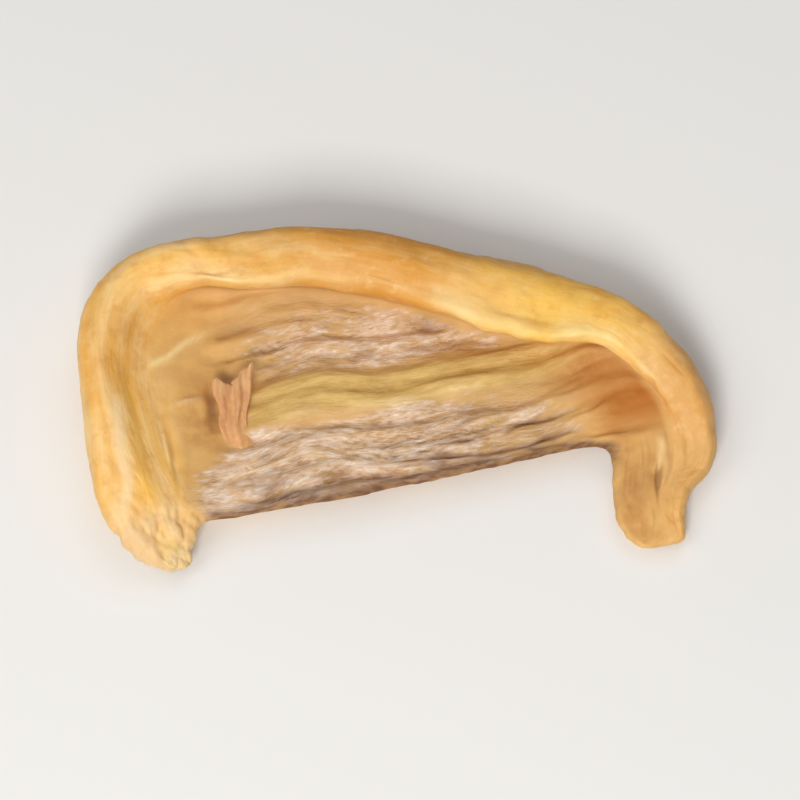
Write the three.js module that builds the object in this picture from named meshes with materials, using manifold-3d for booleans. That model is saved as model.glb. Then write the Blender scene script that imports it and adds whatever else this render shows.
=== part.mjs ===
// A dried persimmon slice, cut from pole to pole: half an oval, with the straight cut along the core.
// The outer flesh has dried into a rolled lip round three sides, which leans in over the sunken cut face.
// The face is a thin web with lengthwise ribs. It ends in the thin core edge, between a short foot at
// the stem end and a drooping flap at the blossom end. A torn scrap of flesh stands up from the face.
// Millimetres. +X runs along the core from the stem end, +Y from the core edge to the rim, +Z up.
// The origin is under the middle of the slice, on the surface that it rests on.

import * as THREE from "three";
import { mergeVertices } from "three/addons/utils/BufferGeometryUtils.js";
import Module from "manifold-3d";

// Driving sizes
const FACE_LEVEL = 3.0; // height of the cut face over the surface that the slice rests on
const WEB = 1.35; // least thickness of the dried web, before its ribs
const REST_CENTRE = [-3.6, 1.4]; // middle of the flattened underside
const REST_REACH = [15.0, 7.0]; // its half length and half width
const BELLY_RISE = 2.1; // how fast the underside lifts outside it
const LINE_Y = -2.8; // the light core line on the face
const BOX_MIDDLE = [-0.563, -2.614]; // middle of the slice's outline in the stations' own x and y

// How finely the skin is divided
const RINGS = 104; // sections along the arch from the foot to the flap
const ROUND = 54; // points round each section
const CAP_RINGS = 2; // shrinking sections that round off the two ends
const CAP_LENGTH = 0.7;

const FLESH = { color: 0xdca65c, roughness: 0.55, metalness: 0 };

// Sections from the foot's tip, up the stem end, along the rim and down to the flap's tip. Each row has
// the core side's x and y, the rim side's x and y, the height of the lip's crest, the width of the lip,
// how far it leans in over the face, the height of the outer bulge, the height and thickness of the
// edge on the core side, and how sharply the lip stands off the face (0 to 1).
const STATIONS = [
  [-21.6, -13.4, -24.3, -14.0, 2.5, 1.5, -0.2, 1.5, 1.7, 1.2, 0.0],
  [-21.0, -12.2, -27.0, -11.8, 4.0, 3.4, -0.8, 2.2, 2.2, 1.3, 0.0],
  [-20.3, -10.9, -28.8, -8.8, 5.6, 5.8, -1.4, 2.8, 2.7, 1.2, 0.0],
  [-19.0, -10.6, -29.2, -3.4, 6.8, 7.6, -2.0, 3.2, 2.8, 1.2, 0.0],
  [-17.0, -10.8, -28.7, 3.4, 7.5, 8.0, -2.2, 3.5, 2.8, 1.2, 0.0],
  [-14.6, -10.8, -27.6, 10.4, 8.0, 7.2, -2.2, 3.8, 2.8, 1.2, 0.0],
  [-12.4, -10.9, -23.6, 14.8, 8.4, 5.0, -1.4, 4.1, 2.8, 1.2, 0.2],
  [-10.0, -10.9, -17.9, 15.8, 8.7, 4.9, 0.6, 4.3, 2.9, 1.2, 1.0],
  [-7.6, -11.0, -13.2, 15.5, 8.8, 6.2, 1.3, 4.4, 2.9, 1.2, 1.0],
  [-4.6, -11.1, -7.2, 14.9, 9.0, 5.5, 0.5, 4.4, 2.9, 1.2, 0.8],
  [-1.0, -11.1, 0.2, 13.1, 9.1, 6.5, 0.8, 4.4, 2.9, 1.2, 0.7],
  [3.0, -11.1, 6.7, 10.2, 9.2, 7.1, 1.3, 4.4, 2.9, 1.2, 0.9],
  [7.0, -11.0, 11.8, 7.8, 9.0, 7.9, 1.8, 4.2, 2.8, 1.2, 1.0],
  [10.5, -10.9, 16.8, 5.4, 8.6, 7.4, 2.0, 4.0, 2.8, 1.2, 1.0],
  [13.5, -10.8, 21.6, 2.1, 8.2, 5.3, 1.3, 3.8, 2.7, 1.2, 1.0],
  [15.8, -10.8, 25.4, -2.2, 7.4, 4.9, 0.5, 3.5, 2.6, 1.2, 0.8],
  [17.6, -11.2, 27.8, -7.0, 6.4, 4.3, -0.4, 3.0, 2.5, 1.2, 0.5],
  [17.9, -12.6, 27.8, -11.4, 5.0, 3.4, -0.8, 2.4, 2.1, 1.2, 0.1],
  [17.4, -14.6, 26.9, -14.8, 3.8, 2.8, -0.9, 1.9, 1.7, 1.2, 0.0],
  [17.1, -16.4, 24.3, -16.5, 3.1, 2.2, -0.6, 1.6, 1.5, 1.2, 0.0],
  [17.0, -18.3, 23.3, -18.6, 2.6, 1.8, -0.4, 1.4, 1.3, 1.1, 0.0],
  [18.2, -20.3, 22.8, -20.6, 2.1, 1.2, -0.2, 1.2, 1.1, 1.0, 0.0],
];
const KEYS = ["coreX", "coreY", "rimX", "rimY", "crest", "lip", "lean", "bulge", "edge", "thick", "stand"];
const NARROW = 8.5; // a section this wide is solid flesh with no cut face
const FACED = 12.5; // from this width on it has its whole cut face

const clamp = (v, low, high) => Math.min(high, Math.max(low, v));
const mix = (a, b, t) => a + (b - a) * t;
const bell = (v, middle, spread) => Math.exp(-(((v - middle) / spread) ** 2));
const smooth = (v) => {
  const t = clamp(v, 0, 1);
  return t * t * (3 - 2 * t);
};

// Value at t on a curve that passes through four evenly spaced values
function through([p0, p1, p2, p3], t) {
  const slopeIn = (p2 - p0) / 2;
  const slopeOut = (p3 - p1) / 2;
  const a = 2 * (p1 - p2) + slopeIn + slopeOut;
  const b = 3 * (p2 - p1) - 2 * slopeIn - slopeOut;
  return ((a * t + b) * t + slopeIn) * t + p1;
}

// Weights of four evenly spaced points on a curve that only leans towards them
function leaning(t) {
  const s = 1 - t;
  return [s ** 3 / 6, (3 * t ** 3 - 6 * t ** 2 + 4) / 6, (3 * s ** 3 - 6 * s ** 2 + 4) / 6, t ** 3 / 6];
}

// Sum of waves in turning directions, each finer and lower than the one before
function crumple(x, y, wavelength, seed, waves = 5) {
  let sum = 0;
  for (let i = 0; i < waves; i++) {
    const turn = seed + i * 2.39996;
    const pitch = (2 * Math.PI * 1.37 ** i) / wavelength;
    const along = x * Math.cos(turn) + y * Math.sin(turn);
    sum += 0.72 ** i * Math.sin(pitch * along + seed * (i + 1) * 1.7);
  }
  return sum / 2;
}

// The section at a place between the listed ones
function sectionAt(place) {
  const last = STATIONS.length - 1;
  const i = Math.min(Math.floor(place), last - 1);
  const near = [-1, 0, 1, 2].map((k) => STATIONS[clamp(i + k, 0, last)]);
  const values = KEYS.map((key, n) => [key, through(near.map((row) => row[n]), place - i)]);
  return Object.fromEntries(values);
}

// Height of the cut face before its bands and ribs
function faceHeight(x, y) {
  const stemRise = 2.0 * smooth((-14.5 - x) / 10);
  const tipRise = 0.9 * smooth((x - 14) / 9);
  const droop = (x < 0 ? -1.5 : -1.9) * smooth((-11.2 - y) / 3.5);
  return FACE_LEVEL + stemRise + tipRise + droop;
}

// Height of the underside before its wrinkles
function bellyHeight(x, y) {
  const out = Math.hypot((x - REST_CENTRE[0]) / REST_REACH[0], (y - REST_CENTRE[1]) / REST_REACH[1]);
  const lifted = BELLY_RISE * Math.max(0, out - 1) ** 1.5 - 0.3 * (1 - smooth(out));
  return Math.min(lifted, faceHeight(x, y) - WEB);
}

// Control points round one section, from the core edge over the face and the lip and back underneath.
// along is the distance from the core side towards the rim.
function sectionCage(section) {
  const { coreX, coreY, rimX, rimY, crest, lip, lean, bulge, edge, thick, stand } = section;
  const wide = Math.hypot(rimX - coreX, rimY - coreY);
  const at = (along) => [mix(coreX, rimX, along / wide), mix(coreY, rimY, along / wide)];
  const faced = smooth((wide - NARROW) / (FACED - NARROW));
  const top = edge + 0.5 * thick;
  const dome = (along) => mix(top, crest, smooth(along / (0.62 * wide)));
  const faceTop = (along) => mix(dome(along), faceHeight(...at(along)), faced);

  const inset = Math.min(1.5, 0.14 * wide);
  const tip = wide - lip;
  const root = Math.max(0.3 * wide, tip + lean);
  const rootTop = faceTop(root);
  const tipTop = mix(mix(rootTop, crest, 0.5), Math.max(crest - 0.09 * lip - 0.5, rootTop + 0.4), stand);
  const shelf = mix(mix(rootTop, crest, 0.3), Math.max(tipTop - 0.8, rootTop + 0.25), stand);
  const half = mix(0.5, 0.45, stand);

  const points = [
    [-0.1, edge],
    [0.25 * inset, edge + 0.55 * thick],
  ];
  const facePoints = 7;
  const faceEnd = root - 0.9 * Math.min(1, wide / 12);
  for (let i = 0; i < facePoints; i++) {
    const along = mix(inset, faceEnd, i / (facePoints - 1));
    points.push([along, faceTop(along)]);
  }
  points.push(
    [root + 0.45 * stand, mix(rootTop, shelf, mix(0.2, 0.15, stand))],
    [mix(root, tip, half), mix(rootTop, shelf, 0.55)],
    [tip - 0.2 * stand, shelf],
    [tip + mix(0.15 * lip, -0.15, stand), tipTop + 0.4 * stand],
    [tip + mix(0.4, 0.32, stand) * lip, crest - 0.05 * lip],
    [tip + 0.68 * lip, crest + 0.25],
    [wide - 0.02 * lip, mix(bulge, crest, 0.74)],
    [wide + 0.15, bulge],
    [wide - 0.12 * lip, 0.45 * bulge + 0.1],
  );
  const bellyPoints = 5;
  const bellyStart = wide - Math.min(2.6, 0.3 * wide);
  for (let i = 0; i < bellyPoints; i++) {
    const along = mix(bellyStart, inset, i / (bellyPoints - 1));
    points.push([along, bellyHeight(...at(along))]);
  }
  points.push([0.2 * inset, Math.max(0.35, edge - 0.5 * thick)]);
  return points.map(([along, z]) => [...at(along), z]);
}

const CAGE_POINTS = sectionCage(sectionAt(8)).length;
const FACE_SPAN = [1, 8]; // control points that lie on the cut face
const LIP_SPAN = [9, 17]; // control points that lie on the lip

// How far a place round the section belongs to the cut face, to the lip and to the underside
const onFace = (round) => smooth(round - FACE_SPAN[0]) * smooth((FACE_SPAN[1] + 1 - round) / 1.2);
const onLip = (round) => smooth((round - LIP_SPAN[0] - 1) / 1.5) * smooth((LIP_SPAN[1] + 0.5 - round) / 2);
const onBelly = (round) => smooth((round - LIP_SPAN[1] + 0.5) / 2) * smooth(CAGE_POINTS - 0.5 - round);

// Bands and ribs along the fibres, creases at the stem end and folds in the flap
function faceRelief(x, y) {
  const drift = y + 0.5 * Math.sin(0.21 * x + 0.4) + 0.3 * Math.sin(0.47 * x + 2.0);
  const fibrous = smooth((x + 19) / 6) * smooth((24 - x) / 6) * smooth((y + 12.5) / 1.5);
  const raised = 0.6 * bell(drift, LINE_Y + 1.7, 1.6) + 0.3 * bell(drift, -6.9, 1.9);
  const sunken = 0.55 * bell(drift, 4.2, 3.0);
  const ribs = 0.2 * Math.sin(2.1 * drift + 0.6) + 0.12 * Math.sin(3.4 * drift + 0.12 * x + 1.1);
  const line = 0.35 * bell(drift, LINE_Y, 0.5);
  const sway = x + 0.4 * Math.sin(0.5 * y);
  const creased = smooth((3 - y) / 6) * smooth((y + 12) / 3);
  const creases = (0.3 * bell(sway, -22.9, 0.6) + 0.22 * bell(sway, -21.3, 0.5)) * creased;
  const hang = x - 0.16 * (y + 15) + 0.22 * Math.sin(1.1 * y);
  const folded = 0.4 * bell(hang, 22.3, 0.6) - 0.35 * bell(hang, 21.2, 0.6) + 0.24 * bell(hang, 20.1, 0.7);
  const folds = folded * smooth((-10.2 - y) / 2.5);
  return (raised - sunken + ribs + line) * fibrous + 0.12 * crumple(x, y, 9, 1.3) - creases + folds;
}

// Dents and low waves on the lip, by the place along the arch and round the section
function lipRelief(arch, round) {
  const waves = Math.sin(2.9 * round + 0.8 * Math.sin(0.9 * arch));
  return 0.2 * crumple(3.2 * arch, 1.4 * round, 7, 2.6) + 0.12 * waves;
}

// Wrinkles of the leathery underside, longest along the slice
const bellyRelief = (x, y) => 0.4 * crumple(0.4 * x, 1.3 * y, 7, 4.1) * smooth(bellyHeight(x, y) / 0.8);

// A point of the smooth surface: round runs over the section's control points
function surfacePoint(cage, round) {
  const i = Math.floor(round);
  const point = new THREE.Vector3();
  leaning(round - i).forEach((weight, k) => {
    point.addScaledVector(new THREE.Vector3(...cage[(i + k - 1 + CAGE_POINTS) % CAGE_POINTS]), weight);
  });
  return point;
}

// Places round the section, closest together on the face
function placesRound() {
  const fine = 400;
  const weight = (round) => 1 + 1.6 * onFace(round) + 0.5 * onLip(round);
  const sums = [0];
  for (let i = 0; i < fine; i++) sums.push(sums[i] + weight(((i + 0.5) * CAGE_POINTS) / fine));
  const places = [];
  let i = 0;
  for (let k = 0; k < ROUND; k++) {
    const wanted = (sums[fine] * k) / ROUND;
    while (sums[i + 1] < wanted) i++;
    places.push(((i + (wanted - sums[i]) / (sums[i + 1] - sums[i])) * CAGE_POINTS) / fine);
  }
  return places;
}

// One ring of the skin, with its relief
function skinRing(arch, places) {
  const section = sectionAt(arch);
  const cage = sectionCage(section);
  const { coreX, coreY, rimX, rimY } = section;
  const outward = new THREE.Vector3(rimX - coreX, rimY - coreY, 0).normalize();
  return places.map((round) => {
    const point = surfacePoint(cage, round);
    const lip = lipRelief(arch, round) * onLip(round) * smooth(section.lip / 5);
    const face = faceRelief(point.x, point.y) * onFace(round);
    const belly = bellyRelief(point.x, point.y) * onBelly(round);
    point.addScaledVector(outward, 0.5 * lip);
    point.z += 0.8 * lip + face + belly;
    return point;
  });
}

// Shrinking rings that close an end of the skin, and the point that ends them
function endCap(ring, next) {
  const middle = (points) => points.reduce((sum, p) => sum.add(p), new THREE.Vector3()).divideScalar(ROUND);
  const centre = middle(ring);
  const way = centre.clone().sub(middle(next)).normalize();
  const rings = [];
  for (let k = 1; k <= CAP_RINGS; k++) {
    const turn = (k / (CAP_RINGS + 1)) * (Math.PI / 2);
    const shift = way.clone().multiplyScalar(CAP_LENGTH * Math.sin(turn));
    rings.push(ring.map((p) => p.clone().sub(centre).multiplyScalar(Math.cos(turn)).add(centre).add(shift)));
  }
  return { rings, point: centre.addScaledVector(way, CAP_LENGTH) };
}

// The whole skin as one closed surface, pressed flat where it meets what it rests on
function skinGeometry() {
  const places = placesRound();
  const arches = Array.from({ length: RINGS }, (_, r) => ((STATIONS.length - 1) * r) / (RINGS - 1));
  const rings = arches.map((arch) => skinRing(arch, places));
  const foot = endCap(rings[0], rings[1]);
  const flap = endCap(rings[RINGS - 1], rings[RINGS - 2]);
  const all = [...foot.rings.reverse(), ...rings, ...flap.rings];
  const points = [...all.flat(), foot.point, flap.point];
  points.forEach((p) => p.set(p.x - BOX_MIDDLE[0], p.y - BOX_MIDDLE[1], Math.max(p.z, 0)));

  const faces = [];
  for (let r = 0; r + 1 < all.length; r++)
    for (let k = 0; k < ROUND; k++) {
      const a = r * ROUND + k;
      const b = r * ROUND + ((k + 1) % ROUND);
      faces.push(a, b + ROUND, b, a, a + ROUND, b + ROUND);
    }
  const lastRing = (all.length - 1) * ROUND;
  const footPoint = all.length * ROUND;
  for (let k = 0; k < ROUND; k++) {
    const next = (k + 1) % ROUND;
    faces.push(footPoint, k, next, footPoint + 1, lastRing + next, lastRing + k);
  }
  const geometry = new THREE.BufferGeometry().setFromPoints(points);
  geometry.setIndex(faces);
  return geometry;
}

// The torn scrap near the stem end: a small blade with two points, lifted at its far end
function scrapGeometry() {
  const outline = new THREE.Shape();
  outline.moveTo(-1.5, -3.7);
  outline.quadraticCurveTo(-2.3, -1.4, -1.7, 0.8);
  outline.lineTo(-1.6, 2.3);
  outline.quadraticCurveTo(-0.9, 1.3, 0.1, 1.2);
  outline.lineTo(2.4, 2.8);
  outline.quadraticCurveTo(2.1, 0.4, 1.0, -1.4);
  outline.lineTo(-0.2, -3.8);
  outline.closePath();
  const blade = new THREE.ExtrudeGeometry(outline, { depth: 0.8, bevelEnabled: false, curveSegments: 5 });
  blade.rotateX(0.3);
  blade.rotateY(0.1);
  blade.translate(-15.2 - BOX_MIDDLE[0], 0.2 - BOX_MIDDLE[1], 3.4);
  return blade;
}

const wasm = await Module();
wasm.setup();

// A closed three.js geometry as a solid that can be joined
function solidOf(geometry) {
  const bare = new THREE.BufferGeometry();
  bare.setAttribute("position", geometry.getAttribute("position"));
  if (geometry.index) bare.setIndex(geometry.index);
  const merged = mergeVertices(bare, 1e-4);
  const vertProperties = new Float32Array(merged.getAttribute("position").array);
  const triVerts = new Uint32Array(merged.index.array);
  return new wasm.Manifold(new wasm.Mesh({ numProp: 3, vertProperties, triVerts }));
}

// A joined solid as three.js geometry
function geometryOf(solid) {
  const mesh = solid.getMesh();
  const geometry = new THREE.BufferGeometry();
  geometry.setAttribute("position", new THREE.BufferAttribute(new Float32Array(mesh.vertProperties), 3));
  geometry.setIndex(new THREE.BufferAttribute(new Uint32Array(mesh.triVerts), 1));
  geometry.computeVertexNormals();
  return geometry;
}

const joined = solidOf(skinGeometry()).add(solidOf(scrapGeometry()));
const slice = new THREE.Mesh(geometryOf(joined), new THREE.MeshStandardMaterial(FLESH));
slice.name = "persimmon_slice";

const part = new THREE.Group();
part.add(slice);

export default part;
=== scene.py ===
"""A dried persimmon slice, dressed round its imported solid.

The slice is one piece of flesh: a rolled golden lip round a sunken, fibrous cut face, a thin core edge, a
short foot, a drooping flap and a torn scrap. Its skin is extruded section by section, subdivided, given its
ribs and wrinkles, and joined with the scrap. Lengths in the form are millimetres and are turned to metres
where a mesh is made. +X runs along the core from the stem end, +Y to the rim and +Z out of the cut face.
"""

import logging
import math
from dataclasses import dataclass
from enum import Enum
from functools import cached_property

import bmesh
import bpy
import numpy as np
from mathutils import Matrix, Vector


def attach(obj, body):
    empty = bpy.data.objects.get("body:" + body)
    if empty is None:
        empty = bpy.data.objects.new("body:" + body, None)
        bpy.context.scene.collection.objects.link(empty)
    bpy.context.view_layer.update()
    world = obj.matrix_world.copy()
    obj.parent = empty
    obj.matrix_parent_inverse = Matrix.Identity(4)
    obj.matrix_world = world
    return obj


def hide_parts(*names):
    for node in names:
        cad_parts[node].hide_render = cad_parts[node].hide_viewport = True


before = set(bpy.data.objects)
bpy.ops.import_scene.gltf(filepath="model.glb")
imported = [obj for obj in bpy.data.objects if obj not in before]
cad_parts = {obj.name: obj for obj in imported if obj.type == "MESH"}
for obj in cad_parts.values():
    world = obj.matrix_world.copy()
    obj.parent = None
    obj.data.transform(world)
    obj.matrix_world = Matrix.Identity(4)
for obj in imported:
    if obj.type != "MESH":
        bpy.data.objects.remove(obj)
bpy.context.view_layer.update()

log = logging.getLogger("persimmon_slice")

# One number for each vertex, or a number alone.
Values = np.ndarray

MM = 0.001
NODE = "persimmon_slice"

# Millimetres along the arch from one section to the next, for the grain that follows the lip.
SECTION_RUN = 5.2


def smooth(value: Values) -> Values:
    """Ease a value from 0 to 1 between 0 and 1.

    Args:
        value: Any numbers; those outside 0 to 1 are held at the nearer end.

    Returns:
        The eased numbers.
    """
    held = np.clip(value, 0.0, 1.0)
    return held * held * (3.0 - 2.0 * held)


def mix(first: float, second: float, share: float) -> float:
    """Return the value that lies this share of the way from first to second."""
    return first + (second - first) * share


def between(value: Values, low: float, rise: float, high: float, fall: float) -> Values:
    """Return 1 in the middle, easing to 0 at low over the rise and to 0 at high over the fall."""
    return smooth((value - low) / rise) * smooth((high - value) / fall)


def bell(value: Values, middle: float, spread: float) -> Values:
    """Return a round hump of height 1 over the middle, of about twice the spread's width."""
    return np.exp(-(((value - middle) / spread) ** 2))


def crumple(x: Values, y: Values, wavelength: float, seed: float, waves: int = 5) -> Values:
    """Add up waves in turning directions, each finer and lower than the one before.

    Args:
        x: First coordinate of each point.
        y: Second coordinate of each point.
        wavelength: Length of the longest wave.
        seed: Number that sets the waves' directions and phases.
        waves: How many waves are added.

    Returns:
        Heights of about -1 to 1.
    """
    golden_angle, finer, lower, phase = 2.39996, 1.37, 0.72, 1.7
    total = np.zeros_like(x)
    for i in range(waves):
        turn = seed + i * golden_angle
        pitch = 2.0 * math.pi * finer**i / wavelength
        along = x * math.cos(turn) + y * math.sin(turn)
        total += lower**i * np.sin(pitch * along + seed * (i + 1) * phase)
    return total / 2.0


def patchy(x: Values, y: Values, seed: float) -> Values:
    """Give every point a smooth random height on a unit lattice.

    Args:
        x: First coordinate of each point, in lattice steps.
        y: Second coordinate of each point, in lattice steps.
        seed: Number that picks the pattern.

    Returns:
        Heights of -1 to 1.
    """
    left, low = np.floor(x), np.floor(y)
    across, up = smooth(x - left), smooth(y - low)

    def corner(i: Values, j: Values) -> Values:
        """Return a lattice corner's own height, which the large numbers only scramble."""
        wave = np.sin(i * 127.1 + j * 311.7 + seed * 74.7) * 43758.5453
        return 2.0 * (wave - np.floor(wave)) - 1.0

    below = corner(left, low) * (1 - across) + corner(left + 1, low) * across
    above = corner(left, low + 1) * (1 - across) + corner(left + 1, low + 1) * across
    return below * (1 - up) + above * up


class Zone(Enum):
    """The parts of the surface that differ in colour and grain, each with its mask's attribute name."""

    LIP = "lip"
    FIBRES = "fibres"
    MAUVE = "mauve"
    OLIVE = "olive"
    LINE = "core_line"
    RUST = "rust"
    PALE = "pale"
    EDGE = "core_edge"
    RIDGE = "ridge"
    SCRAP = "scrap"
    # The painted highlight along the lip's inner edge and the scrap's lifted top.
    CREST = "painted_edge_highlight"
    FOLD = "pale_folds_and_highlight"
    DEEP = "deep_gold"
    SUNNY = "painted_lit_gold"
    PEACH = "peach_end"
    CREVICE = "gap_shade"
    BLEACHED = "bleached_and_highlight"
    UNDER = "painted_under_lip_shade"
    AMBER = "amber"
    BORDER = "painted_outer_shade"


class Run(Enum):
    """The ways that the grain runs, each with the name of the attribute that holds it in millimetres."""

    FACE = "face_run"
    LIP = "lip_run"


def fetched(items: bpy.types.bpy_prop_collection, name: str, width: int) -> Values:
    """Read one property of all of a mesh's vertices, corners or the like, in rows of this width."""
    values = np.empty(len(items) * width)
    items.foreach_get(name, values)
    return values.reshape(-1, width)


def keep_mask(mesh: bpy.types.Mesh, zone: Zone, mask: Values) -> None:
    """Write a zone's mask as an attribute of the mesh's vertices."""
    attribute = mesh.attributes.new(zone.value, "FLOAT", "POINT")
    attribute.data.foreach_set("value", mask.astype(np.float32))


@dataclass(frozen=True)
class Section:
    """One section across the slice, from its core side to its rim side, in millimetres.

    Fields: the core side's and the rim side's x and y, the height of the lip's crest, the lip's width, how
    far the lip leans in over the face, the height of the outer bulge, the height and thickness of the edge
    on the core side, and how sharply the lip stands off the face, from 0 to 1.
    """

    core_x: float
    core_y: float
    rim_x: float
    rim_y: float
    crest: float
    lip: float
    lean: float
    bulge: float
    edge: float
    thick: float
    stand: float

    @property
    def wide(self) -> float:
        """Return the distance from the core side to the rim side."""
        return math.hypot(self.rim_x - self.core_x, self.rim_y - self.core_y)

    def at(self, along: float) -> tuple[float, float]:
        """Return the x and y of a place at this distance from the core side."""
        share = along / self.wide
        return mix(self.core_x, self.rim_x, share), mix(self.core_y, self.rim_y, share)


SECTIONS = (
    Section(-21.6, -13.4, -24.3, -14.0, 2.5, 1.5, -0.2, 1.5, 1.7, 1.2, 0.0),
    Section(-21.0, -12.2, -27.0, -11.8, 4.0, 3.4, -0.8, 2.2, 2.2, 1.3, 0.0),
    Section(-20.3, -10.9, -28.8, -8.8, 5.6, 5.8, -1.4, 2.8, 2.7, 1.2, 0.0),
    Section(-19.0, -10.6, -29.2, -3.4, 6.8, 7.6, -2.0, 3.2, 2.8, 1.2, 0.0),
    Section(-17.0, -10.8, -28.7, 3.4, 7.5, 8.0, -2.2, 3.5, 2.8, 1.2, 0.0),
    Section(-14.6, -10.8, -27.6, 10.4, 8.0, 7.2, -2.2, 3.8, 2.8, 1.2, 0.0),
    Section(-12.4, -10.9, -23.6, 14.8, 8.4, 5.0, -1.4, 4.1, 2.8, 1.2, 0.2),
    Section(-10.0, -10.9, -17.9, 15.8, 8.7, 4.9, 0.6, 4.3, 2.9, 1.2, 1.0),
    Section(-7.6, -11.0, -13.2, 15.5, 8.8, 6.2, 1.3, 4.4, 2.9, 1.2, 1.0),
    Section(-4.6, -11.1, -7.2, 14.9, 9.0, 5.5, 0.5, 4.4, 2.9, 1.2, 0.8),
    Section(-1.0, -11.1, 0.2, 13.1, 9.1, 6.5, 0.8, 4.4, 2.9, 1.2, 0.7),
    Section(3.0, -11.1, 6.7, 10.2, 9.2, 7.1, 1.3, 4.4, 2.9, 1.2, 0.9),
    Section(7.0, -11.0, 11.8, 7.8, 9.0, 7.9, 1.8, 4.2, 2.8, 1.2, 1.0),
    Section(10.5, -10.9, 16.8, 5.4, 8.6, 7.4, 2.0, 4.0, 2.8, 1.2, 1.0),
    Section(13.5, -10.8, 21.6, 2.1, 8.2, 5.3, 1.3, 3.8, 2.7, 1.2, 1.0),
    Section(15.8, -10.8, 25.4, -2.2, 7.4, 4.9, 0.5, 3.5, 2.6, 1.2, 0.8),
    Section(17.6, -11.2, 27.8, -7.0, 6.4, 4.3, -0.4, 3.0, 2.5, 1.2, 0.5),
    Section(17.9, -12.6, 27.8, -11.4, 5.0, 3.4, -0.8, 2.4, 2.1, 1.2, 0.1),
    Section(17.4, -14.6, 26.9, -14.8, 3.8, 2.8, -0.9, 1.9, 1.7, 1.2, 0.0),
    Section(17.1, -16.4, 24.3, -16.5, 3.1, 2.2, -0.6, 1.6, 1.5, 1.2, 0.0),
    Section(17.0, -18.3, 23.3, -18.6, 2.6, 1.8, -0.4, 1.4, 1.3, 1.1, 0.0),
    Section(18.2, -20.3, 22.8, -20.6, 2.1, 1.2, -0.2, 1.2, 1.1, 1.0, 0.0),
)
LAST = len(SECTIONS) - 1


def off_tips(arch: Values, over: float) -> Values:
    """Return 0 at the two ends of the arch, rising to 1 over this many sections."""
    return smooth(arch / over) * smooth((LAST - arch) / over)


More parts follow.
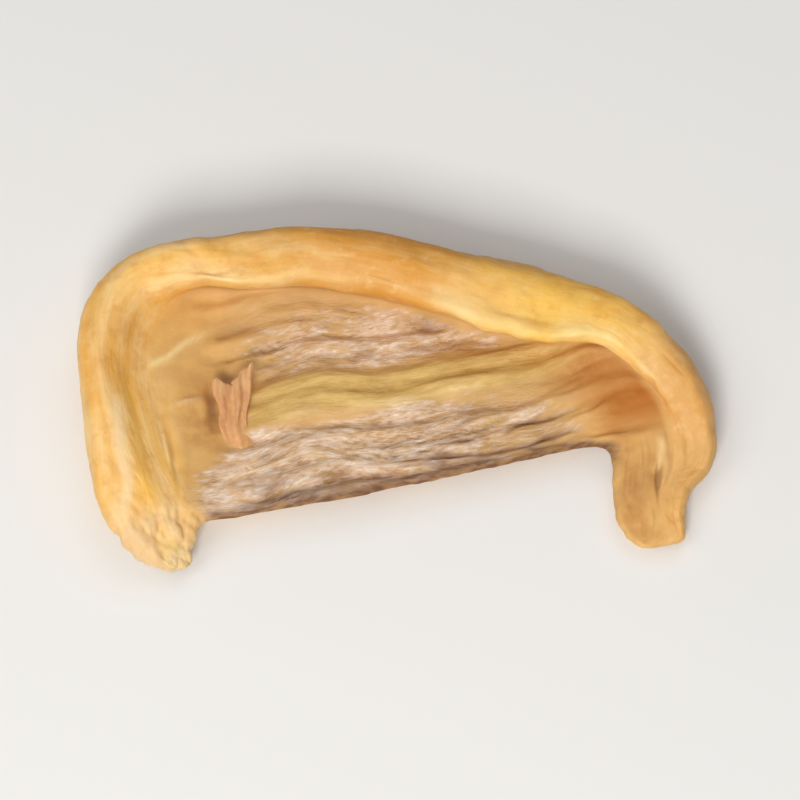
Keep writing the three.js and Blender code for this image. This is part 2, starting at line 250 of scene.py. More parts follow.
@dataclass(frozen=True)
class SliceForm:
    """The driving sizes of the slice, in millimetres, and the shapes worked out from them."""

    face_level: float = 3.0
    web: float = 1.35
    rest_centre: tuple[float, float] = (-3.6, 1.4)
    rest_reach: tuple[float, float] = (15.0, 7.0)
    belly_rise: float = 2.1
    line_y: float = -2.8
    box_middle: tuple[float, float] = (-0.563, -2.614)
    narrow: float = 8.5
    faced: float = 12.5
    face_points: int = 9
    belly_points: int = 5
    crest_point: int = 16

    def section_at(self, place: float) -> Section:
        """Return the section at a place between the listed ones.

        Args:
            place: 0 at the foot's tip, and one more at each listed section up to the flap's tip.

        Returns:
            A section that a smooth curve through the four nearest gives.
        """
        i = min(int(place), LAST - 1)
        share = place - i
        near = [SECTIONS[min(max(i + k, 0), LAST)] for k in (-1, 0, 1, 2)]
        values = []
        for name in Section.__dataclass_fields__:
            before, start, end, after = (getattr(section, name) for section in near)
            slope_in, slope_out = (end - before) / 2.0, (after - start) / 2.0
            cubic = 2.0 * (start - end) + slope_in + slope_out
            square = 3.0 * (end - start) - 2.0 * slope_in - slope_out
            values.append(((cubic * share + square) * share + slope_in) * share + start)
        return Section(*values)

    def face_height(self, x: float, y: float) -> float:
        """Return the height of the cut face at x, y before its bands and ribs."""
        stem_rise = 2.0 * smooth((-14.5 - x) / 10.0)
        tip_rise = 0.9 * smooth((x - 14.0) / 9.0)
        droop = (-1.5 if x < 0 else -1.9) * smooth((-11.2 - y) / 3.5)
        return float(self.face_level + stem_rise + tip_rise + droop)

    def belly_height(self, x: float, y: float) -> float:
        """Return the height of the underside at x, y before its wrinkles."""
        out = math.hypot(
            (x - self.rest_centre[0]) / self.rest_reach[0], (y - self.rest_centre[1]) / self.rest_reach[1]
        )
        lifted = self.belly_rise * max(0.0, out - 1.0) ** 1.5 - 0.3 * (1.0 - float(smooth(out)))
        return min(lifted, self.face_height(x, y) - self.web)

    def cage(self, section: Section) -> list[Vector]:
        """Place the control points round one section.

        Args:
            section: The section, with its sizes.

        Returns:
            Points from the core edge over the face and the lip and back underneath, in millimetres.
        """
        wide, crest, lip, stand = section.wide, section.crest, section.lip, section.stand
        bulge, edge, thick = section.bulge, section.edge, section.thick
        faced = float(smooth((wide - self.narrow) / (self.faced - self.narrow)))
        top = edge + 0.5 * thick

        def face_top(along: float) -> float:
            """Return the height of the upper side at this distance from the core side."""
            dome = mix(top, crest, float(smooth(along / (0.62 * wide))))
            return mix(dome, self.face_height(*section.at(along)), faced)

        inset = min(1.5, 0.14 * wide)
        tip = wide - lip
        root = max(0.3 * wide, tip + section.lean)
        root_top = face_top(root)
        standing_top = max(crest - 0.09 * lip - 0.5, root_top + 0.4)
        tip_top = mix(mix(root_top, crest, 0.5), standing_top, stand)
        shelf = mix(mix(root_top, crest, 0.3), max(tip_top - 0.8, root_top + 0.25), stand)

        points = [(-0.1, edge), (0.25 * inset, edge + 0.55 * thick)]
        face_end = root - 0.9 * min(1.0, wide / 12.0)
        for i in range(self.face_points):
            along = mix(inset, face_end, i / (self.face_points - 1))
            points.append((along, face_top(along)))
        points += [
            (root + 0.45 * stand, mix(root_top, shelf, mix(0.2, 0.15, stand))),
            (mix(root, tip, mix(0.5, 0.45, stand)), mix(root_top, shelf, 0.55)),
            (tip - 0.2 * stand, shelf),
            (tip + mix(0.15 * lip, -0.15, stand), tip_top + 0.4 * stand),
            (tip + mix(0.27, 0.1, stand) * lip, mix(tip_top + 0.4 * stand, crest, mix(0.5, 0.45, stand))),
            (tip + mix(0.4, 0.32, stand) * lip, crest - 0.05 * lip),
            (tip + 0.68 * lip, crest + 0.25),
            (wide - 0.02 * lip, mix(bulge, crest, 0.74)),
            (wide + 0.15, bulge),
            (wide - 0.12 * lip, 0.45 * bulge + 0.1),
        ]
        belly_start = wide - min(2.6, 0.3 * wide)
        for i in range(self.belly_points):
            along = mix(belly_start, inset, i / (self.belly_points - 1))
            points.append((along, self.belly_height(*section.at(along))))
        points.append((0.2 * inset, max(0.35, edge - 0.5 * thick)))
        return [Vector((*section.at(along), z)) for along, z in points]

    def girths(self, arch: Values, place: Values) -> Values:
        """Return how far places lie from the lip's crest, measured round their sections in millimetres.

        Args:
            arch: Each place's distance along the arch, in sections.
            place: Each place's distance round its section, in control points.

        Returns:
            The distances, negative on the side of the face.
        """
        rows = []
        for section in SECTIONS:
            cage = self.cage(section)
            along = np.cumsum([0.0] + [(after - before).length for before, after in zip(cage, cage[1:])])
            rows.append(along - along[self.crest_point])
        table = np.array(rows)
        i = np.clip(arch.astype(int), 0, table.shape[0] - 2)
        j = np.clip(place.astype(int), 0, table.shape[1] - 2)
        on, round_it = arch - i, np.clip(place - j, 0.0, 1.0)
        near = table[i, j] * (1 - round_it) + table[i, j + 1] * round_it
        far = table[i + 1, j] * (1 - round_it) + table[i + 1, j + 1] * round_it
        return near * (1 - on) + far * on


@dataclass(frozen=True)
class Reach:
    """Which control points round a section lie on the cut face and on the lip."""

    face: tuple[int, int] = (1, 10)
    lip: tuple[int, int] = (11, 20)

    def on_face(self, place: Values) -> Values:
        """Return how far each place round the section belongs to the cut face."""
        return smooth(place - self.face[0]) * smooth((self.face[1] + 1 - place) / 1.2)

    def on_lip(self, place: Values) -> Values:
        """Return how far each place round the section belongs to the lip."""
        return smooth((place - self.lip[0] - 1) / 1.5) * smooth((self.lip[1] + 0.5 - place) / 2.0)

    def on_belly(self, place: Values, count: int) -> Values:
        """Return how far each place round the section belongs to the underside."""
        return smooth((place - self.lip[1] + 0.5) / 2.0) * smooth(count - 0.5 - place)

    def on_edge(self, place: Values, count: int) -> Values:
        """Return how far each place round the section belongs to the thin core edge."""
        return smooth(1.4 - place) + smooth((place - count + 1.4) / 1.4)


@dataclass
class SurfacePoints:
    """The skin's vertices as arrays: x, y and z in millimetres, and their places on the skin."""

    xyz: Values
    arch: Values
    place: Values
    girth: Values
    normal: Values

    @property
    def x(self) -> Values:
        """Return every vertex's x."""
        return self.xyz[:, 0]

    @property
    def y(self) -> Values:
        """Return every vertex's y."""
        return self.xyz[:, 1]


@dataclass(frozen=True)
class FleshRelief:
    """The ribs, creases, folds and wrinkles of the dried flesh, as heights in millimetres.

    The fields ending in _at are places on the face, as x and y or as the place across the flap. Noise is
    given its cell sizes by dividing its coordinates, and each noise has a seed of its own.
    """

    form: SliceForm
    reach: Reach = Reach()
    bands_at: tuple[float, float] = (4.8, -7.6)
    sliver_at: tuple[float, float] = (-19.1, 0.9)
    fold_at: tuple[float, float] = (-22.1, 4.7)
    pit_at: tuple[float, float] = (-17.0, 0.2)
    notch_at: tuple[float, float] = (-15.2, 2.7)
    flap_y: float = -15.0
    flap_slope: float = 0.16
    crease_at: float = 21.6
    streak_at: float = 21.7
    lobe_at: float = 22.4
    hollow_at: float = 19.8

    def drift(self, x: Values, y: Values) -> Values:
        """Return y as the fibres see it, which sway a little along the slice."""
        return y + 0.5 * np.sin(0.21 * x + 0.4) + 0.3 * np.sin(0.47 * x + 2.0)

    def fibrous(self, x: Values, y: Values) -> Values:
        """Return how far each point lies in the fibrous middle of the cut face."""
        return between(x, -19.0, 6.0, 24.0, 6.0) * smooth((y + 12.5) / 1.5)

    def face(self, x: Values, y: Values) -> Values:
        """Return the bands, ribs, creases and folds of the upper side."""
        drift = self.drift(x, y)
        line_y = self.form.line_y
        raised = 0.6 * bell(drift, line_y + 1.7, 1.6) + 0.3 * bell(drift, -6.9, 1.9)
        sunken = 0.55 * bell(drift, 4.2, 3.0)
        ribs = 0.2 * np.sin(2.1 * drift + 0.6) + 0.12 * np.sin(3.4 * drift + 0.12 * x + 1.1)
        line = 0.3 * bell(drift, line_y, 0.5) * smooth(0.6 + 0.9 * patchy(x / 3.1, y / 2.0, 33.0))
        banded = (raised - sunken + ribs + line) * self.fibrous(x, y)
        uneven = 0.12 * crumple(x, y, 9.0, 1.3) + 0.05 * patchy(x / 1.3, y / 0.9, 34.0)
        return banded + uneven + self.stem_creases(x, y) + self.flap_folds(x, y)

    def stem_creases(self, x: Values, y: Values) -> Values:
        """Return the creases, the torn sliver and the pale fold at the stem end."""
        sway = x + 0.4 * np.sin(0.5 * y)
        creased = between(y, -12.5, 2.0, 0.5, 5.0)
        grooves = 0.2 * bell(sway, -22.9, 0.45) + 0.12 * bell(sway, -21.7, 0.34)
        ridges = 0.18 * bell(sway, -22.3, 0.32) + 0.1 * bell(sway, -20.8, 0.5)
        return (ridges - grooves) * creased + 0.32 * self.sliver(x, y) + 0.22 * self.pale_fold(x, y)

    def sliver(self, x: Values, y: Values) -> Values:
        """Return how far each point lies on the thin torn sliver left of the scrap."""
        out = x - self.sliver_at[0]
        return bell(out, 0.0, 1.0) * bell(y, self.sliver_at[1] + 0.12 * out, 0.2)

    def pale_fold(self, x: Values, y: Values) -> Values:
        """Return how far each point lies on the faint fold that climbs from the stem end to the rim."""
        climb = self.fold_at[1] + 0.48 * (x - self.fold_at[0])
        ridge = bell(y, climb + 0.2 * np.sin(1.3 * x), 0.42)
        return ridge * between(x, -23.5, 2.0, -15.0, 3.0)

    def hang(self, x: Values, y: Values) -> Values:
        """Return the place across the flap, which its long folds follow."""
        return x - self.flap_slope * (y - self.flap_y) + 0.22 * np.sin(1.1 * y)

    def flap_highlight(self, x: Values, y: Values) -> Values:
        """Return the painted highlight streak above the flap's crease, from 0 to 1."""
        return bell(self.hang(x, y), self.streak_at, 0.3) * between(y, -14.9, 0.9, -11.4, 0.8)

    def flap_folds(self, x: Values, y: Values) -> Values:
        """Return the hanging folds of the flap."""
        hang = self.hang(x, y)
        ridges = 0.3 * bell(hang, self.lobe_at, 0.6) + 0.12 * bell(hang, 20.0, 0.9)
        ridges += 0.08 * bell(hang, 18.3, 0.6)
        grooves = 0.3 * bell(hang, self.crease_at, 0.36) * between(y, -18.2, 3.0, -12.8, 1.5)
        grooves += 0.16 * bell(hang, 23.6, 0.7)
        streaks = 0.13 * patchy(hang / 0.55, y / 3.2, 91.0) + 0.08 * patchy(hang / 0.32, y / 1.9, 92.0)
        return (ridges - grooves + streaks) * smooth((-10.2 - y) / 2.5) * smooth((x - 8.0) / 5.0)

    def lip(self, arch: Values, girth: Values) -> Values:
        """Return the dents, low waves and long creases of the lip."""
        waves = np.sin(2.1 * girth + 0.8 * np.sin(0.9 * arch))
        crease = 1.0 - np.abs(patchy(arch * 0.9, girth * 0.45, 14.0)) * 2.4
        return 0.22 * crumple(3.2 * arch, girth, 7.0, 2.6) + 0.07 * waves - 0.13 * np.clip(crease, 0.0, 1.0)

    def wrinkles(self, arch: Values, girth: Values) -> Values:
        """Return the fine wrinkles of the dried lip, from -1 to 0: some along it and some across it."""
        bent = girth + 0.6 * patchy(arch * 1.1, girth * 0.4, 61.0)
        swung = arch + 0.25 * patchy(arch * 0.8, girth * 0.45, 62.0)
        along = 1.0 - 3.2 * np.abs(patchy(arch * 1.5, bent * 0.85, 15.0))
        across = 1.0 - 3.2 * np.abs(patchy(swung * 3.0, girth * 0.3, 16.0))
        fine = 1.0 - 2.6 * np.abs(patchy(swung * 5.5, bent * 1.25, 17.0))
        return -(0.5 * np.clip(along, 0, 1) + 0.35 * np.clip(across, 0, 1) + 0.25 * np.clip(fine, 0, 1))

    def tufts(self, x: Values, y: Values) -> Values:
        """Return the tufted, torn surface of the foot, from -1 to 1."""
        lumps = 0.7 * patchy(x / 1.5, y / 1.7, 73.0) + 0.7 * patchy(x / 0.8, y / 0.95, 71.0)
        tufted = lumps + 0.5 * patchy(x / 0.42, y / 0.46, 72.0)
        return tufted * smooth((-7.6 - y) / 3.0) * smooth((-18.8 - x) / 1.5)

    def belly(self, x: Values, y: Values) -> Values:
        """Return the wrinkles of the underside, which fade out towards the spot that it rests on."""
        lifted = np.array([self.form.belly_height(px, py) for px, py in zip(x, y)])
        return 0.4 * crumple(0.4 * x, 1.3 * y, 7.0, 4.1) * smooth(lifted / 0.8)

    def banded(self, x: Values, y: Values) -> Values:
        """Return how far each point lies in one of the two bands of loose fibres."""
        drift = self.drift(x, y)
        upper, lower = self.bands_at
        return np.clip(bell(drift, upper, 3.4) + bell(drift, lower, 3.6), 0, 1) * self.fibrous(x, y)

    def crevices(self, x: Values, y: Values) -> Values:
        """Return the narrow broken gaps between the fibres, from 0 to 1."""
        drift = self.drift(x, y)
        bent = drift + 0.5 * patchy(x / 4.6, drift / 2.1, 81.0) + 0.15 * patchy(x / 1.6, drift / 0.8, 82.0)
        long = 1.0 - 3.4 * np.abs(patchy(x / 6.5, bent / 1.05, 83.0))
        short = 0.7 - 2.6 * np.abs(patchy(x / 3.6, bent / 0.55, 84.0))
        broken = smooth(0.55 + 1.1 * patchy(x / 2.6, y / 1.5, 85.0))
        return np.clip(np.maximum(long, short), 0, 1) * broken * self.banded(x, y) * smooth((15.0 - x) / 5.0)

    def edge_gaps(self, x: Values, y: Values) -> Values:
        """Return the long dark gaps where the fibres part beside the core edge, from 0 to 1."""
        near = bell(y, -9.35 + 0.25 * np.sin(0.55 * x) + 0.2 * patchy(x / 2.1, 0.0 * x, 86.0), 0.24)
        far = 0.8 * bell(y, -8.1 + 0.07 * x + 0.3 * patchy(x / 2.6, 0.0 * x, 87.0), 0.2)
        broken = smooth(0.75 + 0.9 * patchy(x / 2.9, y / 1.5, 88.0))
        lasting = between(x, -13.0, 4.0, 17.0, 4.0)
        return np.clip(near + far * smooth(x / 4.0), 0, 1) * lasting * broken

    def flap_crease(self, x: Values, y: Values) -> Values:
        """Return the deep crease between the flap's two lobes, from 0 to 1."""
        return bell(self.hang(x, y), self.crease_at, 0.24) * between(y, -18.7, 1.4, -13.6, 0.9)

    def pits(self, x: Values, y: Values) -> Values:
        """Return the hollows that the scrap left where it tore up, from 0 to 1."""
        left = bell(x, self.pit_at[0] + 0.1 * y, 0.55) * bell(y, self.pit_at[1], 2.1)
        above = 0.9 * bell(x, self.notch_at[0], 0.8) * bell(y, self.notch_at[1], 0.6)
        return np.clip(left + above, 0, 1)

    def fibres(self, x: Values, y: Values) -> Values:
        """Return the fine torn fibres of the cut face, from -1 to 1."""
        drift = self.drift(x, y)
        bent = drift + 0.45 * patchy(x / 5.0, drift / 1.9, 31.0) + 0.16 * patchy(x / 1.7, drift / 0.9, 32.0)
        coarse = patchy(x / 3.4, bent / 0.85, 1.0)
        middle = patchy(x / 1.9 + 7.0, bent / 0.48, 2.0)
        fine = patchy(x / 1.1 + 3.0, bent / 0.3, 3.0)
        return 1.25 * (0.5 * coarse + 0.35 * middle + 0.15 * fine)

    def leather(self, points: SurfacePoints) -> Values:
        """Return the fine grain of the lip and the underside, from -1 to 1."""
        run = points.arch * SECTION_RUN
        turn = points.girth * 0.85
        grain = 0.5 * patchy(run / 1.5, turn / 0.9, 11.0) + 0.3 * patchy(run / 0.7, turn / 0.5, 12.0)
        return grain + 0.2 * patchy(run / 0.35, turn / 0.3, 13.0)

    def raggedness(self, x: Values, y: Values) -> Values:
        """Return how far the torn edges stand in or out, from -1 to 1."""
        coarse = 0.5 * patchy(x / 2.7, y / 2.1, 21.0) + 0.3 * patchy(x / 1.25, y / 1.1, 23.0)
        return coarse + 0.2 * patchy(x / 0.7, y / 0.65, 22.0)


@dataclass
class SliceSkin:
    """The slice's closed skin, extruded ring by ring along the arch from the foot to the flap."""

    form: SliceForm
    relief: FleshRelief
    rings: int = 46
    cap_rings: int = 2
    cap_length: float = 0.7
    levels: int = 3
    tip_fade: float = 0.45
    lip_fade: float = 0.7
    uv_name: str = "skin_run"

    def ring_points(self) -> list[tuple[float, list[Vector]]]:
        """Work out every ring's place along the arch and its control points, with the end caps."""
        arches = [LAST * i / (self.rings - 1) for i in range(self.rings)]
        rings = [(arch, self.form.cage(self.form.section_at(arch))) for arch in arches]
        foot = self.cap(rings[0], rings[1])
        flap = self.cap(rings[-1], rings[-2])
        return foot[::-1] + rings + flap

    def cap(
        self, ring: tuple[float, list[Vector]], inner: tuple[float, list[Vector]]
    ) -> list[tuple[float, list[Vector]]]:
        """Shrink an end ring towards its middle in a few rounded steps.

        Args:
            ring: The end ring's place and points.
            inner: The ring before it.

        Returns:
            The shrunken rings, the smallest last.
        """
        arch, points = ring
        middle = sum(points, Vector()) / len(points)
        way = (middle - sum(inner[1], Vector()) / len(points)).normalized()
        steps = []
        for k in range(1, self.cap_rings + 1):
            turn = k / (self.cap_rings + 1) * math.pi / 2
            shift = way * self.cap_length * math.sin(turn)
            steps.append((arch, [middle + (p - middle) * math.cos(turn) + shift for p in points]))
        return steps

    def build(self) -> bpy.types.Object:
        """Extrude, close, subdivide and roughen the skin, and return its object."""
        rings = self.ring_points()
        count = len(rings[0][1])
        bpy.ops.object.select_all(action="DESELECT")
        bpy.ops.mesh.primitive_circle_add(vertices=count, radius=MM, fill_type="NOTHING")
        skin = bpy.context.object
        skin.name = skin.data.name = "slice_flesh"
        bpy.ops.object.mode_set(mode="EDIT")
        bpy.ops.mesh.select_mode(type="VERT")
        self.place_ring(skin, rings[0][1], 0)
        for number, (_, points) in enumerate(rings[1:], start=1):
            bpy.ops.mesh.extrude_region_move()
            self.place_ring(skin, points, number)
        bpy.ops.mesh.edge_face_add()
        self.select_ring(skin, 0, count)
        bpy.ops.mesh.edge_face_add()
        bpy.ops.mesh.select_all(action="SELECT")
        bpy.ops.mesh.normals_make_consistent(inside=False)
        bpy.ops.object.mode_set(mode="OBJECT")
        self.lay_out(skin, [arch for arch, _ in rings], count)
        subdivide = skin.modifiers.new("subdivide", "SUBSURF")
        subdivide.levels = subdivide.render_levels = self.levels
        subdivide.uv_smooth = "NONE"
        bpy.ops.object.modifier_apply(modifier=subdivide.name)
        self.fold(skin, count)
        self.roughen(skin, count)
        log.info("skin: %d vertices", len(skin.data.vertices))
        return skin

    def place_ring(self, skin: bpy.types.Object, points: list[Vector], number: int) -> None:
        """Move the newest ring's vertices, which are the last in the mesh, to their control points."""
        mesh = bmesh.from_edit_mesh(skin.data)
        mesh.verts.ensure_lookup_table()
        count = len(points)
        first = number * count
        order = {i: i for i in range(count)}
        if number:
            for vertex in mesh.verts[first : first + count]:
                below = min(edge.other_vert(vertex).index for edge in vertex.link_edges)
                order[vertex.index - first] = below - first + count
        shift = Vector((*self.form.box_middle, 0.0))
        for own, below in order.items():
            mesh.verts[first + own].co = (points[below] - shift) * MM
        bmesh.update_edit_mesh(skin.data)

    def select_ring(self, skin: bpy.types.Object, number: int, count: int) -> None:
        """Select only the edges of one ring."""
        bpy.ops.mesh.select_all(action="DESELECT")
        mesh = bmesh.from_edit_mesh(skin.data)
        mesh.verts.ensure_lookup_table()
        for vertex in mesh.verts[number * count : (number + 1) * count]:
            vertex.select = True
        mesh.select_flush(True)
        bmesh.update_edit_mesh(skin.data)

    def lay_out(self, skin: bpy.types.Object, arches: list[float], count: int) -> None:
        """Give the skin a UV map whose u runs along the arch and whose v runs round the section."""
        mesh = skin.data
        layer = mesh.uv_layers.new(name=self.uv_name)
        for face in mesh.polygons:
            places = [mesh.loops[i].vertex_index % count for i in face.loop_indices]
            seam = max(places) - min(places) > count // 2 and len(places) == 4
            for i, place in zip(face.loop_indices, places):
                ring = mesh.loops[i].vertex_index // count
                turned = place + count if seam and place < count // 2 else place
                layer.data[i].uv = (arches[ring] / LAST, turned / count)

    def read(self, skin: bpy.types.Object, count: int) -> SurfacePoints:
        """Read the skin's vertices with their places along the arch and round the section."""
        mesh = skin.data
        run = np.zeros((len(mesh.vertices), 2))
        corner = fetched(mesh.loops, "vertex_index", 1)[:, 0].astype(int)
        run[corner] = fetched(mesh.uv_layers[self.uv_name].data, "uv", 2)
        arch, place = run[:, 0] * LAST, (run[:, 1] * count) % count
        return SurfacePoints(
            xyz=fetched(mesh.vertices, "co", 3) / MM + np.array([*self.form.box_middle, 0.0]),
            arch=arch,
            place=place,
            girth=self.form.girths(arch, place),
            normal=fetched(mesh.vertices, "normal", 3),
        )

    def write(self, skin: bpy.types.Object, points: SurfacePoints) -> None:
        """Put changed vertices back in the mesh, no lower than what the slice rests on."""
        xyz = points.xyz - np.array([*self.form.box_middle, 0.0])
        xyz[:, 2] = np.maximum(xyz[:, 2], 0.0)
        skin.data.vertices.foreach_set("co", (xyz * MM).ravel())
        skin.data.update()

    def outward(self, points: SurfacePoints) -> tuple[Values, Values]:
        """Return each vertex's flat direction out of the slice, and its section's lip width."""
        listed = np.array([[s.core_x, s.core_y, s.rim_x, s.rim_y, s.lip] for s in SECTIONS])
        places = np.arange(len(SECTIONS))
        rows = np.stack([np.interp(points.arch, places, column) for column in listed.T], axis=1)
        way = rows[:, 2:4] - rows[:, 0:2]
        return way / np.linalg.norm(way, axis=1, keepdims=True), rows[:, 4]

    def inner_wall(self, points: SurfacePoints) -> Values:
        """Return how far each vertex lies on the inner side of the left roll, which is smoother."""
        return smooth((-14.0 - points.x) / 4.0) * smooth((15.5 - points.place) / 1.5)

    def fold(self, skin: bpy.types.Object, count: int) -> None:
        """Add the large relief: bands, dents, creases, the ragged edges and the lip's scallops."""
        relief, reach = self.relief, self.relief.reach
        points = self.read(skin, count)
        arch, place = points.arch, points.place
        way, lip_width = self.outward(points)
        on_belly = reach.on_belly(place, count)
        kept = off_tips(arch, self.tip_fade)
        lip = relief.lip(arch, points.girth) * reach.on_lip(place) * smooth(lip_width / 5.0)
        lip *= off_tips(arch, self.lip_fade) * (1.0 - 0.6 * self.inner_wall(points))
        face = relief.face(points.x, points.y) * reach.on_face(place) * kept
        belly = relief.belly(points.x, points.y) * on_belly * kept
        ends = np.clip(smooth(1.6 - arch) + smooth((arch - LAST + 1.6) / 1.6), 0, 1)
        ragged = relief.raggedness(points.x, points.y)
        torn = (0.26 * ragged * reach.on_edge(place, count) + 0.3 * ragged * ends * (1 - on_belly)) * kept
        scallop = 0.36 * patchy(arch * 1.3, 0.0 * arch, 51.0) + 0.16 * patchy(arch * 3.7, 0.0 * arch, 52.0)
        scallop *= bell(place, reach.lip[0] + 3.0, 1.6) * smooth((arch - 4.0) / 2.0)
        points.xyz[:, :2] += way * (0.5 * lip - torn - scallop)[:, None]
        points.xyz[:, 2] += 0.8 * lip + face + belly
        self.write(skin, points)

    def roughen(self, skin: bpy.types.Object, count: int) -> None:
        """Add the fine relief along the normals: fibres, gaps, tufts and wrinkles; then write the masks."""
        relief, reach = self.relief, self.relief.reach
        points = self.read(skin, count)
        x, y, arch, place = points.x, points.y, points.arch, points.place
        on_lip, on_face, on_belly = reach.on_lip(place), reach.on_face(place), reach.on_belly(place, count)
        kept = off_tips(arch, self.tip_fade)
        fibres = relief.fibres(x, y)
        fibre_height = 0.18 + 0.12 * bell(relief.drift(x, y), -7.2, 3.2)
        wrinkled = 0.13 * relief.wrinkles(arch, points.girth) * (0.9 * on_lip + on_belly)
        skinned = 0.05 * relief.leather(points) * (on_lip + 0.6 * on_belly)
        skinned += wrinkled * (1.0 - 0.8 * self.inner_wall(points))
        skinned *= off_tips(arch, self.lip_fade)
        topside = (1 - on_belly) * kept + smooth((points.xyz[:, 2] - 1.0) / 0.6) * (1 - kept)
        tufted = 0.25 * relief.tufts(x, y) * topside
        opened = 0.3 * relief.crevices(x, y) + 0.5 * relief.pits(x, y)
        opened += 0.35 * relief.edge_gaps(x, y) + 0.2 * relief.flap_crease(x, y)
        opened *= on_face * kept
        fine = fibres * relief.fibrous(x, y) * on_face * fibre_height + skinned + tufted - opened
        points.xyz += points.normal * fine[:, None]
        self.write(skin, points)
        ZoneMasks(relief, points, count, fibres).store(skin)


